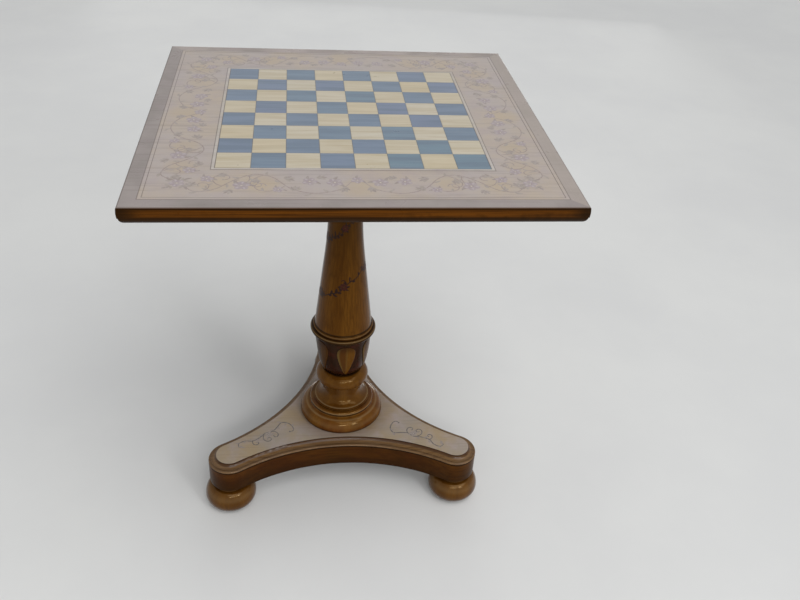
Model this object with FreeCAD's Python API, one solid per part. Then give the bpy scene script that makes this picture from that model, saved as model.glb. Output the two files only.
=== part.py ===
"""Pedestal chess table: tilting top with inlaid board, turned column, three-sided plinth, bun feet.

Millimetres, +Z up, origin on the floor at the column's axis, front of the board towards -Y.
"""
import FreeCAD, Part
import math
import os

Vector = FreeCAD.Vector
UP = Vector(0, 0, 1)

# ------------------------------------------------------------------ driving dimensions
table_height = 760.0

# board and top, listed from the middle outwards
square = 50.0
squares_per_side = 8
board_stringing_width = 6.0
border_width = 82.0
outer_stringing_width = 6.5
edging_width = 23.0
inlay_thickness = 3.0
paint_depth = 0.15
core_thickness = 18.0
square_easing = 0.25

# edge moulding
edging_depth = 26.0
fascia_height = 16.0
fascia_bulge = 0.5
arris_radius = 2.0
fascia_step = 1.4
ovolo_inset = 7.5
ovolo_rise = 1.4
tongue_length = 6.0
tongue_height = 5.0
tongue_drop = 9.5
tongue_clearance = 0.1

# bearers under the top, and the hinge that they make with the block
bearer_length = 500.0
bearer_width = 28.0
bearer_depth = 30.0
bearer_end_slope = 46.0
bearer_end_depth = 12.0
bearer_easing = 1.5
bearer_gap = 0.4
bearer_screws_before_pin = 2
bearer_screws_behind_pin = 3
bearer_screw_margin = 34.0
bearer_screw_hold = 12.0
screw_radius = 2.2
screw_head_radius = 4.6
screw_slot_width = 1.1
screw_slot_depth = 1.2
screw_clearance = 0.05

block_side = 150.0
block_height = 45.0
block_easing = 2.0
pivot_inset = 15.0
pivot_swing_clearance = 0.2
pin_radius = 5.0
pin_hold = 30.0
pin_head_radius = 8.5
pin_head_thickness = 3.5
pin_head_chamfer = 1.2
pin_head_gap = 0.3
pivot_clearance = 0.05

# catch behind the block
catch_length = 62.0
catch_width = 34.0
catch_plate_thickness = 2.0
catch_corner_radius = 3.0
catch_to_block = 5.0
bolt_radius = 4.0
bolt_clearance = 0.1
bolt_end_chamfer = 1.0
bolt_below_plate = 5.6
bolt_tip_gap = 2.0
bolt_tail = 8.0
bolt_travel = 12.0
bolt_stop_gap = 0.3
far_guide_length = 11.0
guide_wall = 2.4
knob_stem_radius = 2.2
knob_radius = 4.6
knob_drop = 14.0
catch_screw_length = 11.0
catch_screw_inset = 5.5
keeper_width = 36.0
keeper_height = 12.0
keeper_thickness = 2.0
keeper_clearance = 0.2
mortise_clearance = 0.6
mortise_depth = 16.0
keeper_screw_spacing = 26.0
small_screw_radius = 1.4
small_head_radius = 2.7
small_slot_width = 0.7
small_slot_depth = 0.7

# tie rod that clamps plinth, column and block together
rod_radius = 5.0
rod_clearance = 0.5
nut_across_flats = 17.0
nut_height = 8.0
nut_clearance = 0.05
washer_radius = 14.0
washer_thickness = 2.0
rod_past_nut = 3.0
rod_end_chamfer = 1.0
nut_well_radius = 16.0
nut_well_depth = 16.0

# turned column
spigot_radius = 20.0
spigot_height = 8.0
spigot_clearance = 0.1
spigot_end_gap = 0.5
tenon_radius = 22.0
tenon_height = 18.0

shaft_foot_radius = 54.3
shaft_neck_radius = 30.8
shaft_neck_to_block = 104.0
collar_height = 16.0
collar_bead_radius = 62.8
collar_seat_radius = 56.0
collar_seat_height = 1.5
collar_fillet_radius = 57.5
collar_fillet_height = 4.0
shaft_foot_rise = 3.0
astragal_radius = 37.5
astragal_height = 9.0
astragal_fillet_radius = 33.5
astragal_fillet_height = 2.5
neck_ease = 47.0
cap_flare_height = 28.0
cap_seat_radius = 47.0
cap_height = 14.0
cap_bulge = 3.0

cup_height = 92.0
cup_rim_radius = 52.5
cup_shoulder_radius = 46.0
cup_shoulder_height = 22.0
cup_foot_radius = 33.0

bulb_radius = 52.0
bulb_height = 31.0
bulb_equator_height = 14.0
bulb_top_radius = 36.0
bulb_end_radius = 41.0
neck_radius = 37.0
neck_height = 41.0
neck_foot_radius = 54.0
neck_foot_height = 2.0
neck_hollow_height = 21.5
neck_top_slope = 3.0

base_height = 39.0
torus_radius = 83.2
torus_equator_height = 4.5
torus_height = 26.0
torus_seat_radius = 81.5
torus_top_radius = 64.0
base_quirk_radius = 62.5
base_quirk_height = 3.0
base_ring_radius = 61.5
base_ring_height = 7.0
base_ring_bulge = 2.1
base_top_radius = 57.0

# three-sided plinth with concave sides and round tips
tip_centre_radius = 254.0
tip_radius = 41.0
waist_radius = 105.5
plinth_body_height = 48.0
plinth_body_easing = 2.5
plinth_top_thickness = 13.0
plate_inset = 15.0
plate_quirk = 2.0
cove_foot_inset = 5.0
cove_foot_drop = 7.6
cove_sag = 2.0
bead_shelf = 1.2
bead_rise = 1.7
moulding_band = 8.0
front_side_angle = -90.0

# bun feet
foot_height = 58.0
foot_radius = 48.9
foot_equator_height = 22.0
foot_shoulder_radius = 42.8
foot_shoulder_height = 42.6
foot_neck_radius = 31.0
foot_neck_height = 9.0
foot_neck_sag = 1.1
foot_past_tip = 3.0
foot_bolt_radius = 4.0
foot_bolt_hold = 28.0
foot_bolt_clearance = 0.05
foot_bolt_end_gap = 1.0

# cuts run past the faces that they open by this much, and nearer places than tiny count as one
overcut = 1.0
tiny = 0.01

# ------------------------------------------------------------------ derived places
board_half = squares_per_side * square / 2
border_inner = board_half + board_stringing_width
border_outer = border_inner + border_width
field_half = border_outer + outer_stringing_width
top_half = field_half + edging_width

inlay_base = table_height - inlay_thickness
underside = inlay_base - core_thickness
edging_base = table_height - edging_depth

block_base = underside - block_height
block_half = block_side / 2
pivot_y = pivot_inset - block_half
pivot_z = underside - pivot_inset
bearer_inner = block_half + bearer_gap

foot_centre_radius = tip_centre_radius + foot_past_tip
plinth_body_base = foot_height
plinth_top_base = plinth_body_base + plinth_body_height
column_base_z = plinth_top_base + plinth_top_thickness
neck_base_z = column_base_z + base_height
bulb_base_z = neck_base_z + neck_height
cup_base_z = bulb_base_z + bulb_height
shaft_base_z = cup_base_z + cup_height

rod_bore = rod_radius + rod_clearance
bolt_z = underside - catch_plate_thickness - bolt_below_plate
catch_front = block_half + catch_to_block
bolt_tip = block_half + bolt_tip_gap


# ------------------------------------------------------------------ drawing helpers
class Outline:
    """A closed outline in the XZ plane, drawn as a chain of stretches; x is the radius of a turning."""

    def __init__(self, x, z):
        self.start = Vector(x, 0, z)
        self.here = self.start
        self.heading = 0.0
        self.edges = []

    def direction(self, end):
        """Degrees from straight up, clockwise, of the way from here to end."""
        run = end - self.here
        return math.degrees(math.atan2(run.x, run.z))

    def line(self, x, z):
        end = Vector(x, 0, z)
        self.heading = self.direction(end)
        self.edges.append(Part.LineSegment(self.here, end).toShape())
        self.here = end
        return self

    def leaving(self, heading, x, z):
        """An arc to x, z that leaves in the given heading."""
        end = Vector(x, 0, z)
        chord = self.direction(end)
        turn = (heading - chord + 180) % 360 - 180
        run = end - self.here
        side = Vector(run.z, 0, -run.x)
        middle = (self.here + end) * 0.5 + side * (math.tan(math.radians(turn / 2)) / 2)
        self.edges.append(Part.Arc(self.here, middle, end).toShape())
        self.heading = chord - turn
        self.here = end
        return self

    def arriving(self, heading, x, z):
        """An arc to x, z that arrives there in the given heading."""
        return self.leaving(2 * self.direction(Vector(x, 0, z)) - heading, x, z)

    def onward(self, x, z):
        """An arc to x, z that carries on smoothly from the last stretch."""
        return self.leaving(self.heading, x, z)

    def bulge(self, x, z, rise):
        """An arc that swells by rise to the right of its direction of travel, or hollows if negative."""
        end = Vector(x, 0, z)
        turn = 2 * math.degrees(math.atan2(2 * rise, self.here.distanceToPoint(end)))
        return self.leaving(self.direction(end) + turn, x, z)

    def face(self):
        if self.here.distanceToPoint(self.start) > tiny:
            self.line(self.start.x, self.start.z)
        return Part.Face(Part.Wire(self.edges))

    def turned(self):
        return self.face().revolve(Vector(0, 0, 0), UP, 360)


def moved(shape, x=0.0, y=0.0, z=0.0):
    copy = shape.copy()
    copy.translate(Vector(x, y, z))
    return copy


def turned_about_z(shape, angle):
    copy = shape.copy()
    copy.rotate(Vector(0, 0, 0), UP, angle)
    return copy


def polar(distance, angle, z=0.0):
    a = math.radians(angle)
    return Vector(distance * math.cos(a), distance * math.sin(a), z)


def box_between(low, high):
    size = high - low
    return Part.makeBox(size.x, size.y, size.z, low)


def cylinder(radius, height, base, direction=UP):
    return Part.makeCylinder(radius, height, base, direction)


def prism(points, z_low, z_high):
    corners = [Vector(x, y, z_low) for x, y in points]
    wire = Part.makePolygon(corners + corners[:1])
    return Part.Face(wire).extrude(Vector(0, 0, z_high - z_low))


def eased(shape, size, keep):
    """Chamfer the edges for which keep(edge) is true."""
    edges = [edge for edge in shape.Edges if keep(edge)]
    return shape.makeChamfer(size, edges)


def save(name, *solids):
    shape = solids[0] if len(solids) == 1 else Part.makeCompound(list(solids))
    shape.exportStep(os.path.join("parts", name + ".step"))


# ------------------------------------------------------------------ screws
def countersunk_screw(radius, head_radius, length, slot_width, slot_depth):
    """Slotted countersunk wood screw, head face at z = 0 looking down, point up at z = length."""
    head_height = head_radius - radius
    point_height = 2 * radius
    screw = (
        Outline(0, 0)
        .line(head_radius, 0)
        .line(radius, head_height)
        .line(radius, length - point_height)
        .line(0, length)
        .turned()
    )
    slot_low = Vector(-head_radius, -slot_width / 2, 0)
    slot = box_between(slot_low, Vector(head_radius, slot_width / 2, slot_depth))
    return screw.cut(slot)


def screw_hole(radius, head_radius, length, clearance):
    """The room that such a screw takes, with its clearance all round."""
    head_height = head_radius - radius
    return (
        Outline(0, -clearance)
        .line(head_radius + clearance, -clearance)
        .line(head_radius + clearance, 0)
        .line(radius + clearance, head_height)
        .line(radius + clearance, length)
        .line(0, length)
        .turned()
    )


# ------------------------------------------------------------------ inlaid top
def mitred_strip(inner, outer, z_low, z_high):
    """The front strip of a square frame, cut at 45 degrees at both ends."""
    points = [(-outer, -outer), (outer, -outer), (inner, -inner), (-inner, -inner)]
    return prism(points, z_low, z_high)


SIDES = {"front": 0, "right": 90, "back": 180, "left": 270}


def make_squares():
    """Thirty-two light and thirty-two dark squares, each with a slightly eased upper edge."""
    tile = box_between(Vector(0, 0, inlay_base), Vector(square, square, table_height))
    tile = eased(tile, square_easing, lambda edge: edge.BoundBox.ZMin > inlay_base + inlay_thickness / 2)
    tiles = {"light_squares": [], "dark_squares": []}
    for column in range(squares_per_side):
        for row in range(squares_per_side):
            name = "dark_squares" if (column + row) % 2 else "light_squares"
            corner = (column * square - board_half, row * square - board_half)
            tiles[name].append(moved(tile, *corner))
    for name, solids in tiles.items():
        save(name, *solids)


def make_frames():
    """Stringing round the board, the four border panels that lie lower by their paint, outer stringing."""
    board_strip = mitred_strip(board_half, border_inner, inlay_base, table_height)
    panel = mitred_strip(border_inner, border_outer, inlay_base, table_height - paint_depth)
    outer_strip = mitred_strip(border_outer, field_half, inlay_base, table_height)
    save("board_stringing", *[turned_about_z(board_strip, angle) for angle in SIDES.values()])
    save("outer_stringing", *[turned_about_z(outer_strip, angle) for angle in SIDES.values()])
    for side, angle in SIDES.items():
        save("border_panel_" + side, turned_about_z(panel, angle))


def edging_section():
    """Section of the edge moulding at the right side of the top, tongue pointing inwards."""
    tongue_top = table_height - tongue_drop
    tongue_base = tongue_top - tongue_height
    fascia_base = table_height - fascia_height
    outline = Outline(field_half, edging_base)
    outline.line(top_half - ovolo_inset, edging_base)
    outline.bulge(top_half - fascia_step, fascia_base, ovolo_rise)
    outline.line(top_half - fascia_bulge, fascia_base)
    outline.bulge(top_half - fascia_bulge, table_height - arris_radius, fascia_bulge)
    outline.leaving(0, top_half - fascia_bulge - arris_radius, table_height)
    outline.line(field_half, table_height)
    outline.line(field_half, tongue_top)
    outline.line(field_half - tongue_length, tongue_top)
    outline.line(field_half - tongue_length, tongue_base)
    outline.line(field_half, tongue_base)
    return outline.face()


def make_edging():
    """Four lengths of edge moulding, mitred at the corners and tongued into the core."""
    section = edging_section()
    section.translate(Vector(0, -top_half, 0))
    length = section.extrude(Vector(0, 2 * top_half, 0))
    reach = top_half + edging_width
    wedge = prism([(0, 0), (reach, -reach), (reach, reach)], edging_base, table_height)
    moulding = turned_about_z(length.common(wedge), -90)
    for side, angle in SIDES.items():
        save("edge_moulding_" + side, turned_about_z(moulding, angle))


def tongue_groove():
    """The groove round the core's edge, a clearance larger than the tongue on every face."""
    deep = field_half - tongue_length - tongue_clearance
    low = table_height - tongue_drop - tongue_height - tongue_clearance
    high = table_height - tongue_drop + tongue_clearance
    outside = box_between(Vector(-top_half, -top_half, low), Vector(top_half, top_half, high))
    return outside.cut(box_between(Vector(-deep, -deep, low), Vector(deep, deep, high)))


def bearer_screw_places():
    """The screws' y places along a bearer, in two runs that leave the hinge pin free."""
    reach = bearer_length / 2 - bearer_screw_margin
    step_before = (pivot_y + reach) / bearer_screws_before_pin
    step_behind = (reach - pivot_y) / bearer_screws_behind_pin
    before = [index * step_before - reach for index in range(bearer_screws_before_pin)]
    behind = [reach - index * step_behind for index in range(bearer_screws_behind_pin)]
    return before + behind


def bearer_screw_sets(shape):
    """Copies of a screw, or of its hole, at every screw of both bearers."""
    bearer_middle = bearer_inner + bearer_width / 2
    seat = underside - bearer_depth
    copies = []
    for x in (-bearer_middle, bearer_middle):
        for y in bearer_screw_places():
            rise = bearer_end_rise(y)
            copies.append(moved(shape, x, y, seat + rise))
    return copies


def bearer_end_rise(y):
    """How far a bearer's underside has risen at y, on the slope at its ends."""
    past = abs(y) - (bearer_length / 2 - bearer_end_slope)
    return max(0.0, past) * (bearer_depth - bearer_end_depth) / bearer_end_slope


def catch_screw_places():
    """The x, y places of the four screws of the catch plate."""
    x = catch_width / 2 - catch_screw_inset
    near = catch_front + catch_screw_inset
    far = catch_front + catch_length - catch_screw_inset
    return [(-x, near), (x, near), (-x, far), (x, far)]


def make_core():
    """The plain board that carries the inlay above and the bearers below."""
    core = box_between(
        Vector(-field_half, -field_half, underside),
        Vector(field_half, field_half, inlay_base),
    )
    core = core.cut(tongue_groove())
    pilot = cylinder(screw_radius + screw_clearance, bearer_depth + bearer_screw_hold, Vector(0, 0, 0))
    small = cylinder(small_screw_radius + screw_clearance, catch_screw_length, Vector(0, 0, 0))
    holes = bearer_screw_sets(pilot)
    seat = underside - catch_plate_thickness
    holes += [moved(small, x, y, seat) for x, y in catch_screw_places()]
    save("top_core", core.cut(Part.makeCompound(holes)))


# ------------------------------------------------------------------ bearers and their hinge
def make_bearers():
    """Two bearers with sloped ends that flank the block and carry the hinge pins."""
    half = bearer_length / 2
    seat = underside - bearer_depth
    end = underside - bearer_end_depth
    side = [
        (-half, underside), (-half, end), (-half + bearer_end_slope, seat),
        (half - bearer_end_slope, seat), (half, end), (half, underside),
    ]
    corners = [Vector(0, y, z) for y, z in side]
    face = Part.Face(Part.makePolygon(corners + corners[:1]))
    bearer = face.extrude(Vector(bearer_width, 0, 0))
    bearer = eased(bearer, bearer_easing, lambda edge: edge.BoundBox.ZMax < underside - tiny
                   and edge.BoundBox.XLength < tiny)
    bearer.translate(Vector(bearer_inner, 0, 0))
    bore_low = Vector(bearer_inner - overcut, pivot_y, pivot_z)
    bore = cylinder(pin_radius + pivot_clearance, bearer_width + 2 * overcut, bore_low, Vector(1, 0, 0))
    right = bearer.cut(bore)
    left = right.mirror(Vector(0, 0, 0), Vector(1, 0, 0))
    room = screw_hole(screw_radius, screw_head_radius, bearer_depth, screw_clearance)
    holes = Part.makeCompound(bearer_screw_sets(room))
    save("bearer_right", right.cut(holes))
    save("bearer_left", left.cut(holes))


def make_bearer_screws():
    screws = []
    bearer_middle = bearer_inner + bearer_width / 2
    for x in (-bearer_middle, bearer_middle):
        for y in bearer_screw_places():
            rise = bearer_end_rise(y)
            length = bearer_depth - rise + bearer_screw_hold
            screw = countersunk_screw(
                screw_radius, screw_head_radius, length, screw_slot_width, screw_slot_depth)
            screws.append(moved(screw, x, y, underside - bearer_depth + rise))
    save("bearer_screws", *screws)


def make_block():
    """The block on the column's head; its front upper edge is round about the pins."""
    swing = pivot_inset - pivot_swing_clearance
    front = pivot_y - swing
    slope = swing * math.sqrt(0.5)
    top_front = Vector(-block_half, pivot_y, pivot_z + swing)
    front_top = Vector(-block_half, front, pivot_z)
    round_middle = Vector(-block_half, pivot_y - slope, pivot_z + slope)
    round_edge = Part.Arc(top_front, round_middle, front_top).toShape()
    corners = [
        front_top,
        Vector(-block_half, front, block_base),
        Vector(-block_half, block_half, block_base),
        Vector(-block_half, block_half, underside),
        Vector(-block_half, pivot_y, underside),
        top_front,
    ]
    sides = [Part.LineSegment(a, b).toShape() for a, b in zip(corners, corners[1:])]
    face = Part.Face(Part.Wire([round_edge] + sides))
    block = face.extrude(Vector(block_side, 0, 0))
    block = eased(block, block_easing, lambda edge: edge.BoundBox.ZMax < block_base + tiny)
    cuts = [
        cylinder(rod_bore, block_height, Vector(0, 0, block_base)),
        cylinder(nut_well_radius, nut_well_depth, Vector(0, 0, underside - nut_well_depth)),
        cylinder(tenon_radius + spigot_clearance, tenon_height + spigot_end_gap, Vector(0, 0, block_base)),
        keeper_pocket(),
        keeper_mortise(),
    ]
    for end in (-1, 1):
        deep = Vector(end * (block_half - pin_hold), pivot_y, pivot_z)
        cuts.append(cylinder(pin_radius + pivot_clearance, pin_hold, deep, Vector(end, 0, 0)))
    cuts += keeper_screw_sets(cylinder(small_screw_radius + screw_clearance, catch_screw_length,
                                       Vector(0, 0, 0), Vector(0, -1, 0)))
    save("tilt_block", block.cut(Part.makeCompound(cuts)))


def make_pivot_pins():
    """Headed pins through the bearers into the block; the top swings on them."""
    pins = []
    head_seat = block_half + bearer_gap + bearer_width + pin_head_gap
    for end in (-1, 1):
        along = Vector(end, 0, 0)
        inner = Vector(end * (block_half - pin_hold), pivot_y, pivot_z)
        shank = cylinder(pin_radius, head_seat - (block_half - pin_hold), inner, along)
        head = cylinder(pin_head_radius, pin_head_thickness, Vector(end * head_seat, pivot_y, pivot_z), along)
        outer_face = head_seat + pin_head_thickness
        head = eased(head, pin_head_chamfer, lambda edge: abs(edge.CenterOfMass.x) > outer_face - tiny)
        pins.append(shank.fuse(head).removeSplitter())
    save("pivot_pins", *pins)


# ------------------------------------------------------------------ catch and keeper
def make_catch_plate():
    """Brass plate screwed under the top, with two guides that carry the bolt."""
    seat = underside - catch_plate_thickness
    plate = box_between(
        Vector(-catch_width / 2, catch_front, seat),
        Vector(catch_width / 2, catch_front + catch_length, underside),
    )
    corners = [edge for edge in plate.Edges if edge.BoundBox.ZLength > tiny]
    plate = plate.makeFillet(catch_corner_radius, corners)
    guide_radius = bolt_radius + bolt_clearance + guide_wall
    solids = [plate]
    for start, end in guide_spans():
        round_part = cylinder(guide_radius, end - start, Vector(0, start, bolt_z), Vector(0, 1, 0))
        web = box_between(Vector(-guide_radius, start, bolt_z), Vector(guide_radius, end, seat))
        solids += [round_part, web]
    catch = solids[0].fuse(solids[1:]).removeSplitter()
    bore = cylinder(bolt_radius + bolt_clearance, catch_length + 2 * overcut,
                    Vector(0, catch_front - overcut, bolt_z), Vector(0, 1, 0))
    head_height = small_head_radius - small_screw_radius
    room = screw_hole(small_screw_radius, small_head_radius, head_height + catch_plate_thickness, screw_clearance)
    holes = [moved(room, x, y, seat) for x, y in catch_screw_places()]
    save("catch_plate", catch.cut(Part.makeCompound([bore] + holes)))


def knob_place():
    """The knob stands against the far guide while the bolt is drawn back."""
    return catch_front + catch_length - far_guide_length - bolt_stop_gap - knob_radius


def guide_spans():
    """Start and end of each guide, along y; between them the knob has room for the bolt's travel."""
    near_end = knob_place() - knob_radius - bolt_travel - bolt_stop_gap
    far_end = catch_front + catch_length
    return [(catch_front, near_end), (far_end - far_guide_length, far_end)]


def make_catch_bolt():
    """Round brass bolt with a turned knob, drawn back clear of the keeper."""
    length = catch_front + catch_length + bolt_tail - bolt_tip
    rod = cylinder(bolt_radius, length, Vector(0, bolt_tip, bolt_z), Vector(0, 1, 0))
    rod = eased(rod, bolt_end_chamfer, lambda edge: edge.Closed)
    neck = math.sqrt(knob_radius * knob_radius - knob_stem_radius * knob_stem_radius)
    knob = (
        Outline(0, bolt_z - knob_drop - knob_radius)
        .leaving(90, knob_stem_radius, bolt_z - knob_drop + neck)
        .line(knob_stem_radius, bolt_z)
        .line(0, bolt_z)
        .turned()
    )
    save("catch_bolt", rod.fuse(moved(knob, y=knob_place())).removeSplitter())


def make_catch_screws():
    screw = countersunk_screw(
        small_screw_radius, small_head_radius, catch_screw_length, small_slot_width, small_slot_depth)
    seat = underside - catch_plate_thickness
    save("catch_screws", *[moved(screw, x, y, seat) for x, y in catch_screw_places()])


def keeper_body(grow):
    """The keeper's plate, or with grow its pocket, let into the block's back face."""
    half_width = keeper_width / 2 + grow
    half_height = keeper_height / 2 + grow
    return box_between(
        Vector(-half_width, block_half - keeper_thickness - grow, bolt_z - half_height),
        Vector(half_width, block_half, bolt_z + half_height),
    )


def keeper_pocket():
    return keeper_body(keeper_clearance)


def keeper_mortise():
    """The square hole through the keeper and into the block that the bolt enters."""
    half = bolt_radius + mortise_clearance
    return box_between(
        Vector(-half, block_half - mortise_depth, bolt_z - half),
        Vector(half, block_half, bolt_z + half),
    )


def keeper_screw_sets(shape):
    return [moved(shape, x, block_half, bolt_z) for x in (-keeper_screw_spacing / 2, keeper_screw_spacing / 2)]


def facing_back(shape):
    """Turn a screw that looks down so that its head looks towards the back."""
    copy = shape.copy()
    copy.rotate(Vector(0, 0, 0), Vector(1, 0, 0), 90)
    return copy


def make_keeper():
    head_height = small_head_radius - small_screw_radius
    room = facing_back(screw_hole(
        small_screw_radius, small_head_radius, head_height + keeper_thickness, screw_clearance))
    keeper = keeper_body(0.0).cut(Part.makeCompound([keeper_mortise()] + keeper_screw_sets(room)))
    save("keeper_plate", keeper)
    screw = facing_back(countersunk_screw(
        small_screw_radius, small_head_radius, catch_screw_length, small_slot_width, small_slot_depth))
    save("keeper_screws", *keeper_screw_sets(screw))


# ------------------------------------------------------------------ turned column
def socket_start(z, radius=spigot_radius, height=spigot_height):
    """Begin a turning's outline with the socket in its underside."""
    depth = height + spigot_end_gap
    return (
        Outline(rod_bore, z + depth)
        .line(radius + spigot_clearance, z + depth)
        .line(radius + spigot_clearance, z)
    )


def spigot_end(outline, z, radius=spigot_radius, height=spigot_height):
    """Finish a turning's outline with the spigot on its top, and turn it."""
    outline.line(radius, z)
    outline.line(radius, z + height)
    outline.line(rod_bore, z + height)
    return outline.turned()


def make_column_base():
    """The broad torus on the plinth, under a small ring."""
    z = column_base_z
    outline = Outline(rod_bore, z).line(torus_seat_radius, z)
    outline.arriving(0, torus_radius, z + torus_equator_height)
    outline.onward(torus_top_radius, z + torus_height)
    outline.line(base_quirk_radius, z + torus_height + base_quirk_height)
    outline.line(base_ring_radius, outline.here.z)
    outline.bulge(base_ring_radius, outline.here.z + base_ring_height, base_ring_bulge)
    outline.line(base_top_radius, outline.here.z)
    outline.line(base_top_radius, z + base_height)
    save("column_base", spigot_end(outline, z + base_height))


def make_column_bulb():
    """The hollowed neck and the round bulb above it, turned in one."""
    z = neck_base_z
    hollow_z = z + neck_foot_height
    outline = socket_start(z).line(neck_foot_radius, z)
    outline.line(neck_foot_radius, hollow_z)
    outline.arriving(0, neck_radius, hollow_z + neck_hollow_height)
    outline.line(neck_radius, bulb_base_z - neck_top_slope)
    outline.line(bulb_end_radius, bulb_base_z)
    outline.arriving(0, bulb_radius, bulb_base_z + bulb_equator_height)
    outline.onward(bulb_top_radius, cup_base_z)
    save("column_bulb", spigot_end(outline, cup_base_z))


def make_petal_cup():
    """The cup whose sides carry the petals, round below and nearly upright at the rim."""
    z = cup_base_z
    rim_z = z + cup_height
    shoulder = Outline(cup_shoulder_radius, z + cup_shoulder_height)
    shoulder_heading = 2 * shoulder.direction(Vector(cup_rim_radius, 0, rim_z))
    outline = socket_start(z).line(cup_foot_radius, z)
    outline.arriving(shoulder_heading, cup_shoulder_radius, z + cup_shoulder_height)
    outline.onward(cup_rim_radius, rim_z)
    save("petal_cup", spigot_end(outline, rim_z))


def add_collar(outline, z):
    """The bead at the foot of the shaft, on a narrow seat and under a fillet."""
    outline.line(collar_seat_radius, z)
    outline.line(collar_seat_radius, z + collar_seat_height)
    rise = collar_bead_radius - (collar_seat_radius + collar_fillet_radius) / 2
    outline.bulge(collar_fillet_radius, z + collar_height - collar_fillet_height, rise)
    outline.line(collar_fillet_radius, z + collar_height)
    outline.line(shaft_foot_radius, z + collar_height + shaft_foot_rise)


def add_taper(outline, z_neck):
    """The long taper, straight below and easing into the slender neck."""
    aim = Vector(shaft_neck_radius, 0, z_neck - neck_ease)
    back = (outline.here - aim).normalize() * neck_ease
    outline.line(aim.x + back.x, aim.z + back.z)
    outline.onward(shaft_neck_radius, z_neck)


def add_head(outline, z_neck):
    """The ring at the neck and the flared cap under the block."""
    ring = z_neck + astragal_fillet_height
    outline.line(astragal_fillet_radius, z_neck)
    outline.line(astragal_fillet_radius, ring)
    outline.bulge(astragal_fillet_radius, ring + astragal_height, astragal_radius - astragal_fillet_radius)
    outline.line(astragal_fillet_radius, ring + astragal_height + astragal_fillet_height)
    outline.line(shaft_neck_radius, ring + astragal_height + astragal_fillet_height)
    cap_base = block_base - cap_height
    outline.line(shaft_neck_radius, cap_base - cap_flare_height)
    outline.leaving(0, cap_seat_radius, cap_base)
    outline.bulge(cap_seat_radius, block_base, cap_bulge)


def make_column_shaft():
    """Collar, tapered shaft, neck ring and cap, ending in the tenon that enters the block."""
    outline = socket_start(shaft_base_z)
    add_collar(outline, shaft_base_z)
    z_neck = block_base - shaft_neck_to_block
    add_taper(outline, z_neck)
    add_head(outline, z_neck)
    save("column_shaft", spigot_end(outline, block_base, tenon_radius, tenon_height))


# ------------------------------------------------------------------ tie rod
def hex_nut(z):
    corner = nut_across_flats / math.sqrt(3)
    points = [(polar(corner, 60 * k).x, polar(corner, 60 * k).y) for k in range(6)]
    nut = prism(points, z, z + nut_height)
    return nut.cut(cylinder(rod_radius + nut_clearance, nut_height, Vector(0, 0, z)))


def washer(z):
    disc = cylinder(washer_radius, washer_thickness, Vector(0, 0, z))
    return disc.cut(cylinder(rod_bore, washer_thickness, Vector(0, 0, z)))


def make_tie_rod():
    """Threaded rod through the whole pedestal, with a washer and a nut at each end."""
    low_seat = plinth_body_base + nut_well_depth
    high_seat = underside - nut_well_depth
    low_nut = low_seat - washer_thickness - nut_height
    high_nut = high_seat + washer_thickness
    rod_low = low_nut - rod_past_nut
    rod_high = high_nut + nut_height + rod_past_nut
    rod = cylinder(rod_radius, rod_high - rod_low, Vector(0, 0, rod_low))
    save("tie_rod", eased(rod, rod_end_chamfer, lambda edge: edge.Closed))
    save("rod_nuts", hex_nut(low_nut), hex_nut(high_nut))
    save("rod_washers", washer(low_seat - washer_thickness), washer(high_seat))


# ------------------------------------------------------------------ three-sided plinth
TIP_ANGLES = [front_side_angle - 60, front_side_angle + 60, front_side_angle + 180]


def side_radius():
    """Radius of each concave side, from the tips' place and size and the waist between them."""
    along = tip_centre_radius * math.cos(math.radians(60))
    across = tip_centre_radius * math.sin(math.radians(60))
    past = waist_radius - along
    return (past * past + across * across - tip_radius * tip_radius) / (2 * (tip_radius - past))


def side_centre(angle):
    return polar(waist_radius + side_radius(), angle)


def tangent_point(tip_angle, side_angle, inset):
    tip = polar(tip_centre_radius, tip_angle)
    towards = (side_centre(side_angle) - tip).normalize()
    return tip + towards * (tip_radius - inset)


def triform_face(inset, z):
    """The plinth's outline, drawn in by inset all round."""
    edges = []
    for tip_angle in TIP_ANGLES:
        before = tangent_point(tip_angle, tip_angle - 60, inset)
        after = tangent_point(tip_angle, tip_angle + 60, inset)
        nose = polar(tip_centre_radius + tip_radius - inset, tip_angle)
        waist = polar(waist_radius - inset, tip_angle + 60)
        onward = tangent_point(tip_angle + 120, tip_angle + 60, inset)
        edges.append(Part.Arc(before, nose, after).toShape())
        edges.append(Part.Arc(after, waist, onward).toShape())
    face = Part.Face(Part.Wire(edges))
    face.translate(Vector(0, 0, z))
    return face


def moulding_outline(reach):
    """The moulded edge's section; reach(inset) turns a distance in from the edge into x."""
    top = column_base_z
    base = plinth_top_base
    foot = top - cove_foot_drop
    bead_top = foot - bead_shelf
    hollow = reach(plate_inset), top - plate_quirk
    outline = Outline(reach(plate_inset + moulding_band), base)
    outline.line(reach(bead_rise), base)
    outward = 1 if reach(0) > reach(1) else -1
    outline.bulge(reach(bead_rise), bead_top, bead_rise * outward)
    outline.line(reach(cove_foot_inset), bead_top)
    outline.line(reach(cove_foot_inset), foot)
    outline.bulge(*hollow, -cove_sag * outward)
    outline.line(reach(plate_inset), top)
    outline.line(reach(plate_inset + moulding_band), top)
    return outline.face()


def swept_edge(face, centre, start, end):
    """Turn a section about an upright axis at centre, from the direction of start to that of end."""
    from_angle = math.degrees(math.atan2(start.y - centre.y, start.x - centre.x))
    to_angle = math.degrees(math.atan2(end.y - centre.y, end.x - centre.x))
    turn = (to_angle - from_angle) % 360
    solid = face.revolve(Vector(0, 0, 0), UP, turn)
    solid = turned_about_z(solid, from_angle)
    solid.translate(centre)
    return solid


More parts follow.
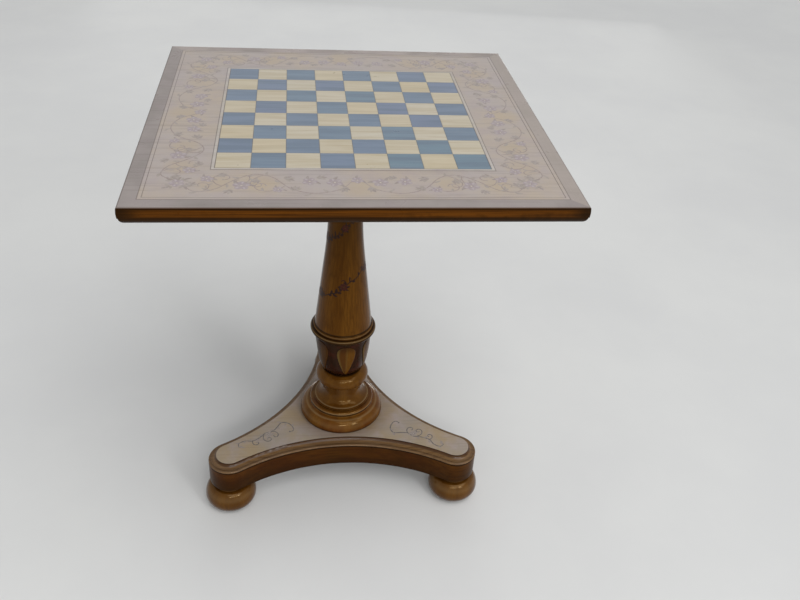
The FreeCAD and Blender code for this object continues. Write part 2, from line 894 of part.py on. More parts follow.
def make_plinth_top():
    """The painted board, with quirk, cove and bead worked round its edge."""
    thick = plinth_top_thickness
    pieces = [triform_face(plate_inset + moulding_band, plinth_top_base).extrude(Vector(0, 0, thick))]
    tip_section = moulding_outline(lambda inset: tip_radius - inset)
    hollow_section = moulding_outline(lambda inset: side_radius() + inset)
    for tip_angle in TIP_ANGLES:
        before = tangent_point(tip_angle, tip_angle - 60, 0)
        after = tangent_point(tip_angle, tip_angle + 60, 0)
        onward = tangent_point(tip_angle + 120, tip_angle + 60, 0)
        pieces.append(swept_edge(tip_section, polar(tip_centre_radius, tip_angle), before, after))
        pieces.append(swept_edge(hollow_section, side_centre(tip_angle + 60), onward, after))
    board = pieces[0].fuse(pieces[1:]).removeSplitter()
    bore = cylinder(rod_bore, thick, Vector(0, 0, plinth_top_base))
    save("plinth_top", board.cut(bore))


def foot_places():
    return [polar(foot_centre_radius, angle) for angle in TIP_ANGLES]


def make_plinth_body():
    """The thick three-sided block between the feet and the moulded board."""
    body = triform_face(0.0, plinth_body_base).extrude(Vector(0, 0, plinth_body_height))
    body = eased(body, plinth_body_easing, lambda edge: edge.BoundBox.ZMax < plinth_body_base + tiny)
    cuts = [
        cylinder(rod_bore, plinth_body_height, Vector(0, 0, plinth_body_base)),
        cylinder(nut_well_radius, nut_well_depth, Vector(0, 0, plinth_body_base)),
    ]
    for place in foot_places():
        place.z = plinth_body_base
        deep = foot_bolt_hold + foot_bolt_end_gap
        cuts.append(cylinder(foot_bolt_radius + foot_bolt_clearance, deep, place))
    save("plinth_body", body.cut(Part.makeCompound(cuts)))


# ------------------------------------------------------------------ bun feet
def bun_foot():
    neck_base = foot_height - foot_neck_height
    bore = foot_bolt_radius + foot_bolt_clearance
    bore_floor = foot_height - foot_bolt_hold - foot_bolt_end_gap
    outline = Outline(0, 0).line(foot_radius - foot_equator_height, 0)
    outline.leaving(90, foot_radius, foot_equator_height)
    outline.onward(foot_shoulder_radius, foot_shoulder_height)
    outline.onward(foot_neck_radius, neck_base)
    outline.bulge(foot_neck_radius, foot_height, -foot_neck_sag)
    outline.line(bore, foot_height)
    outline.line(bore, bore_floor)
    outline.line(0, bore_floor)
    return outline.turned()


def make_feet():
    """Three bun feet, and the hanger bolts that hold them to the plinth."""
    foot = bun_foot()
    bolt = cylinder(foot_bolt_radius, 2 * foot_bolt_hold, Vector(0, 0, foot_height - foot_bolt_hold))
    bolts = []
    for name, place in zip(("left", "right", "back"), foot_places()):
        save("bun_foot_" + name, moved(foot, place.x, place.y))
        bolts.append(moved(bolt, place.x, place.y))
    save("foot_bolts", *bolts)


# ------------------------------------------------------------------ the whole table
os.makedirs("parts", exist_ok=True)
make_squares()
make_frames()
make_edging()
make_core()
make_bearers()
make_bearer_screws()
make_block()
make_pivot_pins()
make_catch_plate()
make_catch_bolt()
make_catch_screws()
make_keeper()
make_column_base()
make_column_bulb()
make_petal_cup()
make_column_shaft()
make_tie_rod()
make_plinth_top()
make_plinth_body()
make_feet()
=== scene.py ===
"""Looks of the pedestal chess table: camera, light, painted ornament, petals and materials.

Metres, +Z up, origin on the floor at the column's axis, front of the board towards -Y.
"""
import math
import random

import bmesh
import bpy
from mathutils import Euler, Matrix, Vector


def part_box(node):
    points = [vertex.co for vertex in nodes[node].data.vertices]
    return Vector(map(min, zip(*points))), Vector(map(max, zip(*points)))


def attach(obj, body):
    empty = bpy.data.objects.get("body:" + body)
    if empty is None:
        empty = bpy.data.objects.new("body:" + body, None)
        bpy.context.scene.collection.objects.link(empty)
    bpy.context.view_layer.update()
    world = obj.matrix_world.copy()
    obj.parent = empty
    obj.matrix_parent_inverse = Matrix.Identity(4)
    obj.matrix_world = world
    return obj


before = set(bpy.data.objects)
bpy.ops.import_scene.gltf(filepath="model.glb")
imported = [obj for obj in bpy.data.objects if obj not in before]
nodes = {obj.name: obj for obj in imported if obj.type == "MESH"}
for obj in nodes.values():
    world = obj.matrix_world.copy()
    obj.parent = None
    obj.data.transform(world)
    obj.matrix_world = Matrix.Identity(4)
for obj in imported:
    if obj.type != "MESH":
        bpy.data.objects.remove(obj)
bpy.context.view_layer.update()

# ------------ camera, light and floor
# the photograph's view: place, turn in degrees, focal length and sensor width in millimetres
CAMERA_PLACE = (-0.0841, -1.2903, 1.2960)
CAMERA_TURN = (55.02, -3.33, -6.12)
CAMERA_LENS = 37.48
SENSOR_WIDTH = 36.0
FLOOR_SIZE = 30.0
FLOOR_DROP = 0.0005
# the sky as a light, and as the camera and reflections see it
SKY_COLOUR = (0.96, 0.98, 1.0, 1.0)
SKY_STRENGTH = 0.41
BACKDROP_STRENGTH = 0.62
# the sun's spread in degrees, and the way its light goes
SUN_STRENGTH = 1.22
SUN_SPREAD = 50.0
SUN_AIM = (-0.28, 0.36, -1.0)
# name, place, the point it faces, width and height, watts, and spread in degrees
SOFTBOXES = [
    ("back_softbox", (0.4, 3.4, 0.42), (0, 0, 0.5), (3.0, 0.8), 6, 60),
    ("front_softbox", (1.7, -2.4, 2.2), (0, 0, 0.3), (0.6, 0.9), 18, 180),
    ("strip_softbox", (0.2, -2.9, 2.1), (0, 0, 0.2), (1.3, 0.24), 20, 180),
]

# ------------ the board and its border
SQUARE = 0.050
SEAM_WIDTH = 0.0008
# how the grain shifts from square to square, and how fine it is along x, y and z
GRAIN_SHIFT = (0.37, 1.31, 0.0)
FINE_VENEER = (10.0, 330.0, 40.0)
BROAD_VENEER = (7.0, 60.0, 8.0)

# widths of the two light strips, and half widths of the thin dark lines inside and outside each
STRINGING_WIDTHS = {"board_stringing": 0.006, "outer_stringing": 0.0065}
INNER_LINE = 0.0014
OUTER_LINE = 0.0020

# strokes of paint: height of the lowest over the wood, the step up to one that crosses it, the
# cell in which crossings are counted, and how deep the stroke's sides go into the wood
PAINT_LIFT = 0.00002
LAYER_STEP = 0.000003
LAYER_CELL = 0.0015
PAINT_DEPTH = 0.0002
# how many steps a leaf, a dot or a petal is drawn in
STROKE_STEPS = 6

# edge moulding: depths below the top and half widths of the two dark lines, glaze at the arris and glaze
# with painted shade at the step
ARRIS_LINE = (0.0022, 0.0030)
STEP_LINE = (0.0165, 0.0042)
# depths between which painted shade sets in on the ovolo and on the lowest part, and the painted band sets
# in
OVOLO_SHADE = (0.0165, 0.0185)
FOOT_SHADE = (0.0230, 0.0262)
BAND_REACH = (0.0011, 0.0004)
# distances from the outer edge: where painted shade darkens the corners, and the dark rim with its half
# width
CORNER_SHADE = (0.040, 0.004)
RIM_LINE = (0.0012, 0.0022)
# half width of the change of tone at a mitre, and of the one between opposite sides, where the band's
# painted light and shade change
MITRE_BLUR = 0.0005
HALVES_BLUR = 0.01

# scrollwork of one half of a border, u along the side from its middle, v towards the board
BORDER_STEM = [
    (0.008, 0.006), (0.026, -0.018), (0.060, -0.029), (0.092, -0.016), (0.118, 0.018),
    (0.144, 0.027), (0.170, 0.010), (0.196, -0.018), (0.222, -0.024), (0.240, -0.004),
]
# start u, v, heading in degrees, length, first and last turn rate in degrees a millimetre
BORDER_CURLS = [
    (0.100, -0.006, -62, 0.080, 1.5, 10.0),
    (0.130, 0.025, -30, 0.060, -1.0, -12.0),
    (0.186, -0.008, 20, 0.074, 2.5, 10.0),
    (0.152, 0.025, -115, 0.048, 2.0, 14.0),
    (0.212, -0.024, 150, 0.046, -3.0, -13.0),
]
# u, v and radius of each flower
BORDER_MIDDLE = (0.0, 0.010, 0.0100)
BORDER_FLOWERS = [
    (0.032, 0.003, 0.0125), (0.067, 0.006, 0.0115), (0.160, -0.007, 0.0130), (0.208, 0.013, 0.0100),
    (0.110, -0.018, 0.0085),
]
# u, v, heading in degrees and length of each fan of leaves
BORDER_FANS = [
    (0.022, -0.014, -130, 0.013), (0.052, 0.014, 110, 0.012), (0.086, -0.020, 75, 0.013),
    (0.100, 0.012, 150, 0.014), (0.140, 0.010, -80, 0.012), (0.178, -0.020, -110, 0.012),
    (0.190, 0.022, 130, 0.011), (0.226, -0.008, 60, 0.013),
]
# u, v and radius of the warm clouds in the ground between the scrolls
BORDER_GLOWS = [(0.0, -0.014, 0.034), (0.132, 0.000, 0.030), (0.196, 0.000, 0.032)]
CORNER_FLOWER = (0.247, 0.0, 0.0115)
# leaves along a stem, and half widths of the strokes
LEAF_LENGTH = 0.0125
LEAF_GAPS = 0.12
LEAF_WIDTH = 0.0023
STEM_WIDTH = 0.00085
CURL_WIDTH = 0.00080
DOT_RADIUS = 0.0015

# ------------ column and plinth ornament
# the front petal's bearing and half the angle a petal spans, its foot's height in the cup
PETALS = 6
PETAL_BEARING = -85.3
PETAL_HALF_ANGLE = 20.0
PETAL_FOOT = 0.0110
PETAL_HEIGHT = 0.0720
# how deep painted shade lies on each petal, from the front one on to the right
PETAL_SHADES = [0.0, 0.15, 0.35, 0.2, 0.3, 0.6]
# how far a petal's middle stands out, and its raised rim: height, place and half width
PETAL_CROWN = 0.0011
PETAL_RIDGE = (0.0004, 0.9, 0.12)
# how deep its edge sinks into the cup, its thickness, and the share cut off at both ends
PETAL_SINK = 0.0003
PETAL_SHELL = 0.0006
PETAL_ENDS = 0.004
PETAL_ROWS = 30
PETAL_COLUMNS = 12
# how far the cup's spigot reaches up into the shaft
SPIGOT = 0.008
# half widths of the painted shade under the cup's rim and at its foot, and depths below the collar between
# which painted shade darkens the petals
CUP_RIM_LINE = 0.010
CUP_FOOT_LINE = 0.002
COLLAR_SHADE = (0.030, 0.004)

# turned pieces, heights over the foot of each: dark lines of glaze and painted shade with half widths,
# pale crests, partly rubbed and partly painted highlight, with half widths and strengths, and where
# painted shade darkens the tone, from and to, and how far
SHAFT_LINES = [(0.0040, 0.0150), (0.0120, 0.0022), (0.0190, 0.0028), (0.2675, 0.0025), (0.2815, 0.0025)]
SHAFT_CRESTS = [(0.0095, 0.0016, 0.5), (0.0158, 0.0013, 0.4)]
SHAFT_PAINTED_SHADE = (0.078, 0.298, 0.55)
BULB_LINES = [(0.0, 0.0014), (0.041, 0.0025), (0.072, 0.0008)]
BULB_CRESTS = [(0.0018, 0.0014, 0.6)]
BULB_PAINTED_SHADE = (0.044, 0.034, 0.15)
BASE_LINES = [(0.0, 0.0085), (0.0285, 0.0018), (0.0375, 0.0022)]
BASE_CRESTS = [(0.0325, 0.0026, 0.7), (0.0240, 0.0016, 0.4), (0.0150, 0.0060, 0.12)]
FOOT_LINES = [(0.055, 0.009), (0.0, 0.006)]
FOOT_CRESTS = [(0.03828, 0.010, 0.16)]
FOOT_PAINTED_SHADE = (0.030, 0.002, 0.3)

# garland: bearings in degrees, heights from the floor, and the rise in one full turn as its pitch;
# it runs on from the first bearing to the last, and is at its height where it crosses the front
GARLAND_BEARING = -94.0
GARLAND_HEIGHT = 0.4436
GARLAND_PITCH = 0.116
GARLAND_WAVE = 0.0090
GARLAND_RIPPLE = 0.0020
GARLAND_START = -439
GARLAND_END = 376
GARLAND_RADIUS = 0.045
GARLAND_FLOWER_FROM = -382
GARLAND_FLOWER_EVERY = 72
GARLAND_LOW = 0.372
GARLAND_HIGH = 0.582
GARLAND_MARGIN = 0.008
# tendrils: which places of the stem carry one, their length, first and last turn rate
GARLAND_CURLS = slice(8, None, 20)
GARLAND_CURL = (0.020, 4.0, 24.0)
# a flower: how far over the stem it sits, its radius, and length and headings of its fans
GARLAND_RISE = 0.002
GARLAND_FLOWER = 0.0075
GARLAND_FAN = 0.0125
GARLAND_FAN_HEADINGS = (200, 330)

# how far the foot of the cove lies below the plinth's plate; heights over that foot between
# which the bead is made pale, partly rubbed and partly painted highlight, and painted shade darkens
# the cove; the line of painted shade between them with half width
COVE_DROP = 0.0076
BEAD_RUB_AND_HIGHLIGHT = (0.0036, 0.0014)
COVE_SHADE = (0.0006, 0.0026)
BEAD_LINE = (-0.0007, 0.0009)
# depths below the plate of the painted shade in the quirk and of the painted face, and the line at the
# bottom
QUIRK_SHADE = (0.0030, 0.0012)
PLATE_REACH = (0.0003, 0.0001)
BOTTOM_LINE = 0.0014
# the plate grows darker towards the column between these radii, partly a darker tone and partly painted
# shade
PLATE_SHADE = (0.122, 0.084)
# plinth block: half widths of the dark lines of glaze and painted shade at its top and bottom arrises, and
# where its painted shade ends below it
BLOCK_TOP_LINE = 0.003
BLOCK_FOOT_LINE = 0.005
BLOCK_SHADE_PAST = 0.02
ARM_BEARINGS = (-150.0, -30.0, 90.0)
# scroll on an arm: s outwards along it from the column's axis, t across it
ARM_STEM = [
    (0.1270, 0.0090), (0.1200, 0.0100), (0.1160, 0.0020), (0.1180, -0.0130), (0.1290, -0.0220),
    (0.1430, -0.0150), (0.1560, -0.0100), (0.1700, -0.0130), (0.1850, -0.0080), (0.2010, -0.0070),
    (0.2140, -0.0150), (0.2270, -0.0150), (0.2310, -0.0070), (0.2260, -0.0050),
]
ARM_FLOWER = (0.1660, -0.0060, 0.0080)
ARM_CURLS = [
    (0.1700, -0.0130, 20, 0.052, 3.0, 20.0),
    (0.1560, -0.0100, 150, 0.034, -4.0, -22.0),
    (0.2010, -0.0070, 40, 0.030, 6.0, 24.0),
]


def srgb(red, green, blue):
    """A colour as the eye names it, 0 to 255, in the linear numbers that a shader takes."""
    return tuple(
        (c / 255 / 12.92 if c <= 10 else ((c / 255 + 0.055) / 1.055) ** 2.4) for c in (red, green, blue)
    ) + (1.0,)


WHITE = srgb(255, 255, 255)
CREAM = srgb(200, 192, 175)
CREAM_WARM = srgb(200, 185, 155)
CREAM_DEEP = srgb(186, 173, 145)
CREAM_STREAK = srgb(168, 145, 104)
SLATE = srgb(109, 132, 146)
SLATE_VIOLET = srgb(117, 128, 152)
SLATE_DEEP = srgb(97, 112, 129)
SLATE_STREAK = srgb(124, 138, 152)
SEAM = srgb(84, 78, 76)
BORDER = srgb(176, 165, 160)
BORDER_WARM = srgb(181, 166, 150)
BORDER_PINK = srgb(170, 156, 155)
BORDER_GLOW = srgb(182, 163, 134)
LINE = srgb(92, 80, 74)
BAND = srgb(153, 144, 138)
BAND_GREY = srgb(135, 130, 129)
BAND_PALE = srgb(170, 160, 152)
STRIP = srgb(192, 184, 177)
STRIP_WARM = srgb(186, 176, 163)
EDGE = srgb(72, 39, 5)
EDGE_LIGHT = srgb(94, 52, 10)
# dark streaks of the grain, also used as painted shade on the turnings and in the plinth's cove
EDGE_STREAK_AND_SHADE = srgb(40, 19, 5)
# dark glaze, also laid on as painted shade in recesses, under rims and where parts meet
GLAZE_AND_SHADE = srgb(24, 13, 6)
GOLD = srgb(97, 59, 14)
GOLD_LIGHT = srgb(118, 76, 22)
GOLD_STREAK = srgb(62, 33, 7)
GOLD_RED = srgb(86, 36, 12)
# pale colour of the crests, partly rubbed varnish and partly painted highlight
RUBBED_AND_HIGHLIGHT = srgb(140, 116, 82)
SHELLAC = srgb(255, 216, 150)
CUP_GROUND = srgb(40, 20, 11)
CUP_RED = srgb(60, 22, 12)
PETAL_OCHRE = srgb(99, 62, 10)
PETAL_HEART = srgb(77, 43, 7)
PETAL_RIM = srgb(104, 84, 44)
PLATE = srgb(156, 145, 133)
PLATE_WARM = srgb(162, 142, 112)
PLATE_DARK = srgb(118, 92, 64)
# the bead's pale tone, partly wear and partly painted highlight
BEAD = srgb(122, 96, 66)
UNDERSIDE = srgb(90, 57, 30)
UNDERSIDE_STREAK = srgb(60, 36, 18)
BRASS = srgb(196, 158, 92)
BRASS_DARK = srgb(128, 96, 48)
STEEL = srgb(176, 176, 178)
STEEL_DARK = srgb(120, 120, 124)
VINE = srgb(146, 129, 123)
LEAF = srgb(158, 146, 136)
LEAF_DARK = srgb(148, 135, 128)
BLOSSOM = srgb(158, 143, 145)
BLOSSOM_PALE = srgb(178, 166, 168)
HEART = srgb(198, 188, 176)
PLATE_VINE = srgb(84, 76, 74)
PLATE_LEAF = srgb(140, 127, 120)
GARLAND_VINE = srgb(38, 18, 10)
GARLAND_BLOSSOM = srgb(64, 22, 14)
FLOOR = srgb(222, 222, 220)
FLOOR_CLOUD = srgb(216, 216, 215)


# ------------ materials
# sockets of the Mix node: factor and both colours, and the mixed colour
MIX_INPUTS = (0, 6, 7)
MIX_RESULT = 2
ROUGHNESS_CLOUDS = 24.0


class Shader:
    """A node material built by small calls; each call gives back the socket that it makes."""

    def __init__(self, name, coat=0.0, coat_roughness=0.1, metallic=0.0, specular=0.5, tint=WHITE):
        self.material = bpy.data.materials.new(name)
        self.material.use_nodes = True
        self.tree = self.material.node_tree
        self.tree.nodes.clear()
        output = self.tree.nodes.new("ShaderNodeOutputMaterial")
        self.surface = self.tree.nodes.new("ShaderNodeBsdfPrincipled")
        self.tree.links.new(self.surface.outputs["BSDF"], output.inputs["Surface"])
        for socket, value in (
            ("Metallic", metallic), ("Specular IOR Level", specular), ("Specular Tint", tint),
            ("Coat Weight", coat), ("Coat Roughness", coat_roughness),
        ):
            self.surface.inputs[socket].default_value = value
        self.place = self.tree.nodes.new("ShaderNodeTexCoord").outputs["Object"]
        apart = self.node("ShaderNodeSeparateXYZ", Vector=self.place)
        self.x, self.y, self.z = apart.outputs

    def node(self, kind, settings=(), **inputs):
        """A node of one kind; a space in an input's name is written as an underscore."""
        made = self.tree.nodes.new(kind)
        for name, value in dict(settings).items():
            setattr(made, name, value)
        for name, value in inputs.items():
            self.feed(made.inputs[name.replace("_", " ")], value)
        return made

    def feed(self, socket, value):
        if isinstance(value, bpy.types.NodeSocket):
            self.tree.links.new(value, socket)
        else:
            socket.default_value = value

    def math(self, operation, *values):
        made = self.tree.nodes.new("ShaderNodeMath")
        made.operation = operation
        for socket, value in zip(made.inputs, values):
            self.feed(socket, value)
        return made.outputs[0]

    def attribute(self, name):
        return self.node("ShaderNodeAttribute", {"attribute_name": name}).outputs["Fac"]

    def fade(self, value, start, end):
        """0 where value is at start, 1 where it is at end, smooth between."""
        smooth = {"interpolation_type": "SMOOTHSTEP"}
        made = self.node("ShaderNodeMapRange", smooth, Value=value, From_Min=start, From_Max=end)
        return made.outputs["Result"]

    def near(self, value, middle, half_width):
        """1 where value is at middle, falling smoothly to 0 at half_width from it."""
        away = self.math("ABSOLUTE", self.math("SUBTRACT", value, middle))
        return self.fade(away, half_width, 0.0)

    def most(self, values):
        """The largest of several factors."""
        top = values[0]
        for value in values[1:]:
            top = self.math("MAXIMUM", top, value)
        return top

    def noise(self, scale, detail=5.0, roughness=0.6, place=None):
        """Cloudy noise; scale is one number, or three where the pattern is stretched."""
        scale = scale if isinstance(scale, tuple) else (scale,) * 3
        place = self.place if place is None else place
        drawn = self.node("ShaderNodeMapping", Vector=place, Scale=scale).outputs["Vector"]
        made = self.node("ShaderNodeTexNoise", Vector=drawn, Scale=1.0, Detail=detail, Roughness=roughness)
        return made.outputs["Fac"]

    def patches(self, scale, start, end, **kind):
        """Noise sharpened into patches: 0 where it is at start, 1 where it is at end."""
        return self.fade(self.noise(scale, **kind), start, end)

    def streaks(self, along, fine, slow):
        """Wood grain: noise drawn out along one axis, as a fine and a broad factor."""
        scales = {"x": (slow, fine, fine), "y": (fine, slow, fine), "z": (fine, fine, slow)}
        broad = tuple(value * 0.16 for value in scales[along])
        return (
            self.patches(scales[along], 0.36, 0.68),
            self.patches(broad, 0.34, 0.66, detail=3.0, roughness=0.5),
        )

    def mix(self, factor, first, second):
        made = self.tree.nodes.new("ShaderNodeMix")
        made.data_type = "RGBA"
        for index, value in zip(MIX_INPUTS, (factor, first, second)):
            self.feed(made.inputs[index], value)
        return made.outputs[MIX_RESULT]

    def over(self, under, colour, where, strength):
        """A colour laid over another one where a factor is 1, as thickly as strength says."""
        return self.mix(self.math("MULTIPLY", where, strength), under, colour)

    def bump(self, height, distance):
        made = self.node("ShaderNodeBump", Height=height, Distance=distance)
        self.feed(self.surface.inputs["Normal"], made.outputs["Normal"])

    def finish(self, colour, smoothest, roughest=None):
        """The finished material; its roughness is one number, or wanders between two."""
        rough = smoothest
        if roughest is not None:
            clouds = self.noise(ROUGHNESS_CLOUDS, roughness=0.55)
            wander = self.node("ShaderNodeMapRange", Value=clouds, To_Min=smoothest, To_Max=roughest)
            rough = wander.outputs["Result"]
        self.feed(self.surface.inputs["Base Color"], colour)
        self.feed(self.surface.inputs["Roughness"], rough)
        return self.material


def square_material(name, plain, other, deep, streak):
    """Veneer squares: each has its own tone, grain from left to right, and a thin seam round it."""
    shader = Shader(name, coat=0.2, coat_roughness=0.2, specular=0.36)
    column = shader.math("FLOOR", shader.math("DIVIDE", shader.x, SQUARE))
    row = shader.math("FLOOR", shader.math("DIVIDE", shader.y, SQUARE))
    where = shader.node("ShaderNodeCombineXYZ", X=column, Y=row).outputs["Vector"]
    tone = shader.node("ShaderNodeTexWhiteNoise", {"noise_dimensions": "2D"}, Vector=where).outputs["Value"]
    shift = shader.node("ShaderNodeVectorMath", {"operation": "MULTIPLY_ADD"})
    for socket, value in zip(shift.inputs, (where, GRAIN_SHIFT, shader.place)):
        shader.feed(socket, value)
    shifted = shift.outputs["Vector"]
    fine = shader.patches(FINE_VENEER, 0.46, 0.74, roughness=0.62, place=shifted)
    broad = shader.patches(BROAD_VENEER, 0.38, 0.66, detail=3.0, roughness=0.5, place=shifted)
    colour = shader.mix(tone, plain, other)
    colour = shader.over(colour, deep, broad, 0.7)
    colour = shader.over(colour, streak, fine, 0.55)
    along = shader.math("PINGPONG", shader.x, SQUARE / 2)
    across = shader.math("PINGPONG", shader.y, SQUARE / 2)
    seam = shader.fade(shader.math("MINIMUM", along, across), SEAM_WIDTH, SEAM_WIDTH / 2)
    colour = shader.over(colour, SEAM, seam, 0.45)
    shader.bump(fine, 0.00006)
    return shader.finish(colour, 0.24, 0.36)


def painted_ground(shader, plain, warm, pale):
    """Painted and rubbed ground: clouds of warm colour over faint grain from left to right."""
    fine = shader.patches((9.0, 260.0, 60.0), 0.48, 0.72)
    colour = shader.mix(shader.patches(9.0, 0.36, 0.66), plain, warm)
    colour = shader.over(colour, pale, shader.patches(31.0, 0.42, 0.72, detail=6.0, roughness=0.62), 0.55)
    colour = shader.over(colour, LINE, fine, 0.22)
    return colour, fine


def board_distances(shader):
    """Distances from the board's two middle lines, the larger and the smaller."""
    far_x = shader.math("ABSOLUTE", shader.x)
    far_y = shader.math("ABSOLUTE", shader.y)
    return shader.math("MAXIMUM", far_x, far_y), shader.math("MINIMUM", far_x, far_y)


def stringing_material(name, node, plain, warm):
    """A narrow strip between two thin dark lines."""
    shader = Shader(name, coat=0.2, coat_roughness=0.2, specular=0.34)
    colour = painted_ground(shader, plain, warm, BORDER_PINK)[0]
    away = board_distances(shader)[0]
    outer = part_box(node)[1].x
    inner = outer - STRINGING_WIDTHS[node]
    lines = shader.most([shader.near(away, inner, INNER_LINE), shader.near(away, outer, OUTER_LINE)])
    colour = shader.over(colour, LINE, lines, 0.9)
    return shader.finish(colour, 0.26, 0.38)


def border_glows(shader):
    """Soft warm clouds at fixed places, the same on each half of each side."""
    low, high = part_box("border_panel_front")
    away, along = board_distances(shader)
    across = shader.math("SUBTRACT", -(low.y + high.y) / 2, away)
    glows = []
    for u, v, radius in BORDER_GLOWS:
        gap_u = shader.math("SUBTRACT", along, u)
        gap_v = shader.math("SUBTRACT", across, v)
        square = shader.math("MULTIPLY_ADD", gap_u, gap_u, shader.math("MULTIPLY", gap_v, gap_v))
        glows.append(shader.fade(square, radius ** 2, 0.0))
    return shader.most(glows)


def border_material():
    """Painted panels round the board, with a soft glow behind the scrolls."""
    shader = Shader("border_paint", coat=0.2, coat_roughness=0.2, specular=0.34)
    colour, fine = painted_ground(shader, BORDER, BORDER_WARM, BORDER_PINK)
    colour = shader.over(colour, BORDER_GLOW, border_glows(shader), 0.5)
    shader.bump(fine, 0.00004)
    return shader.finish(colour, 0.26, 0.4)


def edge_material():
    """Edge moulding: painted band above, stained wood with dark glazed arrises and painted shade on the
    sides.

    The four pieces meet at mitres; painted shade makes the band greyer on the front and left ones, and
    painted light makes it paler on the right.
    """
    shader = Shader("edge_varnish", specular=0.10, tint=SHELLAC)
    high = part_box("edge_moulding_right")[1]
    depth = shader.math("SUBTRACT", high.z, shader.z)
    away, aside = board_distances(shader)
    inward = shader.math("SUBTRACT", high.x, away)
    slant = shader.math("SUBTRACT", shader.math("ABSOLUTE", shader.x), shader.math("ABSOLUTE", shader.y))
    on_sides = shader.fade(slant, -MITRE_BLUR, MITRE_BLUR)
    on_ends = shader.math("SUBTRACT", 1.0, on_sides)

    along_x, broad_x = shader.streaks("x", 380.0, 7.0)
    along_y, broad_y = shader.streaks("y", 380.0, 7.0)
    grain = shader.math("MULTIPLY_ADD", along_y, on_sides, shader.math("MULTIPLY", along_x, on_ends))
    wood = shader.mix(shader.math("ADD", broad_x, broad_y), EDGE, EDGE_LIGHT)
    wood = shader.over(wood, EDGE_STREAK_AND_SHADE, grain, 0.7)
    corner = shader.fade(shader.math("SUBTRACT", high.x, aside), *CORNER_SHADE)
    # painted shade: the ovolo, the lowest part and the corners go dark, and the line at the step is glaze
    # with painted shade
    dark = shader.most([
        shader.near(depth, *ARRIS_LINE),
        shader.near(depth, *STEP_LINE),
        shader.math("MULTIPLY", shader.fade(depth, *OVOLO_SHADE), 0.95),
        shader.fade(depth, *FOOT_SHADE),
        shader.math("MULTIPLY", corner, 0.95),
    ])
    wood = shader.over(wood, GLAZE_AND_SHADE, dark, 0.88)

    # painted light and shade: the band greyer on the front and left, paler on the right
    at_left = shader.math("MULTIPLY", on_sides, shader.fade(shader.x, 0.0, -HALVES_BLUR))
    at_right = shader.math("MULTIPLY", on_sides, shader.fade(shader.x, 0.0, HALVES_BLUR))
    at_front = shader.math("MULTIPLY", on_ends, shader.fade(shader.y, 0.0, -HALVES_BLUR))
    band = painted_ground(shader, BAND, BORDER, BORDER_PINK)[0]
    band = shader.over(band, BAND_GREY, shader.math("MAXIMUM", at_left, at_front), 0.40)
    band = shader.over(band, BAND_PALE, at_right, 0.65)
    band = shader.over(band, LINE, shader.near(inward, *RIM_LINE), 0.75)
    shader.bump(grain, 0.00005)
    return shader.finish(shader.mix(shader.fade(depth, *BAND_REACH), wood, band), 0.22, 0.36)


def golden_material(
    name, node, lines, crests, painted_shade=None, red=0.0, dim=0.0, gloss=0.28, coat=0.02, grain=0.25
):
    """Golden brown varnish with grain up the turning, dark glaze and painted shade in its recesses, and
    pale crests that are partly rubbed and partly painted highlight.

    lines, crests and sink are laid out as beside SHAFT_LINES. red is how strong the reddish clouds are,
    dim how far the whole tone goes towards the dark streaks, gloss and coat how strongly the varnish
    mirrors, and grain how dark the grain is.
    """
    shader = Shader(name, coat=coat, coat_roughness=0.08, specular=gloss, tint=SHELLAC)
    height = shader.math("SUBTRACT", shader.z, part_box(node)[0].z)
    fine, broad = shader.streaks("z", 300.0, 7.0)
    colour = shader.mix(broad, GOLD, GOLD_LIGHT)
    colour = shader.mix(dim, colour, GOLD_STREAK)
    colour = shader.over(colour, GOLD_STREAK, fine, grain)
    colour = shader.over(colour, GOLD_STREAK, shader.patches(38.0, 0.5, 0.8), 0.45)
    if red:
        patches = shader.patches(17.0, 0.42, 0.68, detail=3.0, roughness=0.5)
        colour = shader.over(colour, GOLD_RED, patches, red)
    # painted shade: the tone darkens between two heights
    if painted_shade:
        start, end, depth = painted_shade
        colour = shader.over(colour, EDGE_STREAK_AND_SHADE, shader.fade(height, start, end), depth)
    # dark glaze and painted shade in the recesses, under overhangs and where parts meet
    dark = shader.most([shader.near(height, middle, half_width) for middle, half_width in lines])
    colour = shader.over(colour, GLAZE_AND_SHADE, dark, 0.88)
    # pale crests, partly rubbed and partly painted highlight
    for middle, half_width, strength in crests:
        colour = shader.over(colour, RUBBED_AND_HIGHLIGHT, shader.near(height, middle, half_width), strength)
    shader.bump(fine, 0.00003)
    return shader.finish(colour, 0.10, 0.20)


def cup_material():
    """Dark ground of the cup, redder in places, with painted shade nearly black under the rim and at the
    foot.
    """
    shader = Shader("cup_ground", coat=0.02, coat_roughness=0.07, specular=0.13, tint=SHELLAC)
    low, high = (corner.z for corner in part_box("petal_cup"))
    patches = shader.patches(46.0, 0.42, 0.68, detail=4.0, roughness=0.55)
    colour = shader.mix(patches, CUP_GROUND, CUP_RED)
    colour = shader.over(colour, GLAZE_AND_SHADE, shader.streaks("z", 300.0, 9.0)[0], 0.4)
    # painted shade under the collar's rim and at the cup's foot
    at_rim = shader.near(shader.z, high - SPIGOT, CUP_RIM_LINE)
    dark = shader.most([at_rim, shader.near(shader.z, low, CUP_FOOT_LINE)])
    return shader.finish(shader.mix(dark, colour, GLAZE_AND_SHADE), 0.18, 0.3)


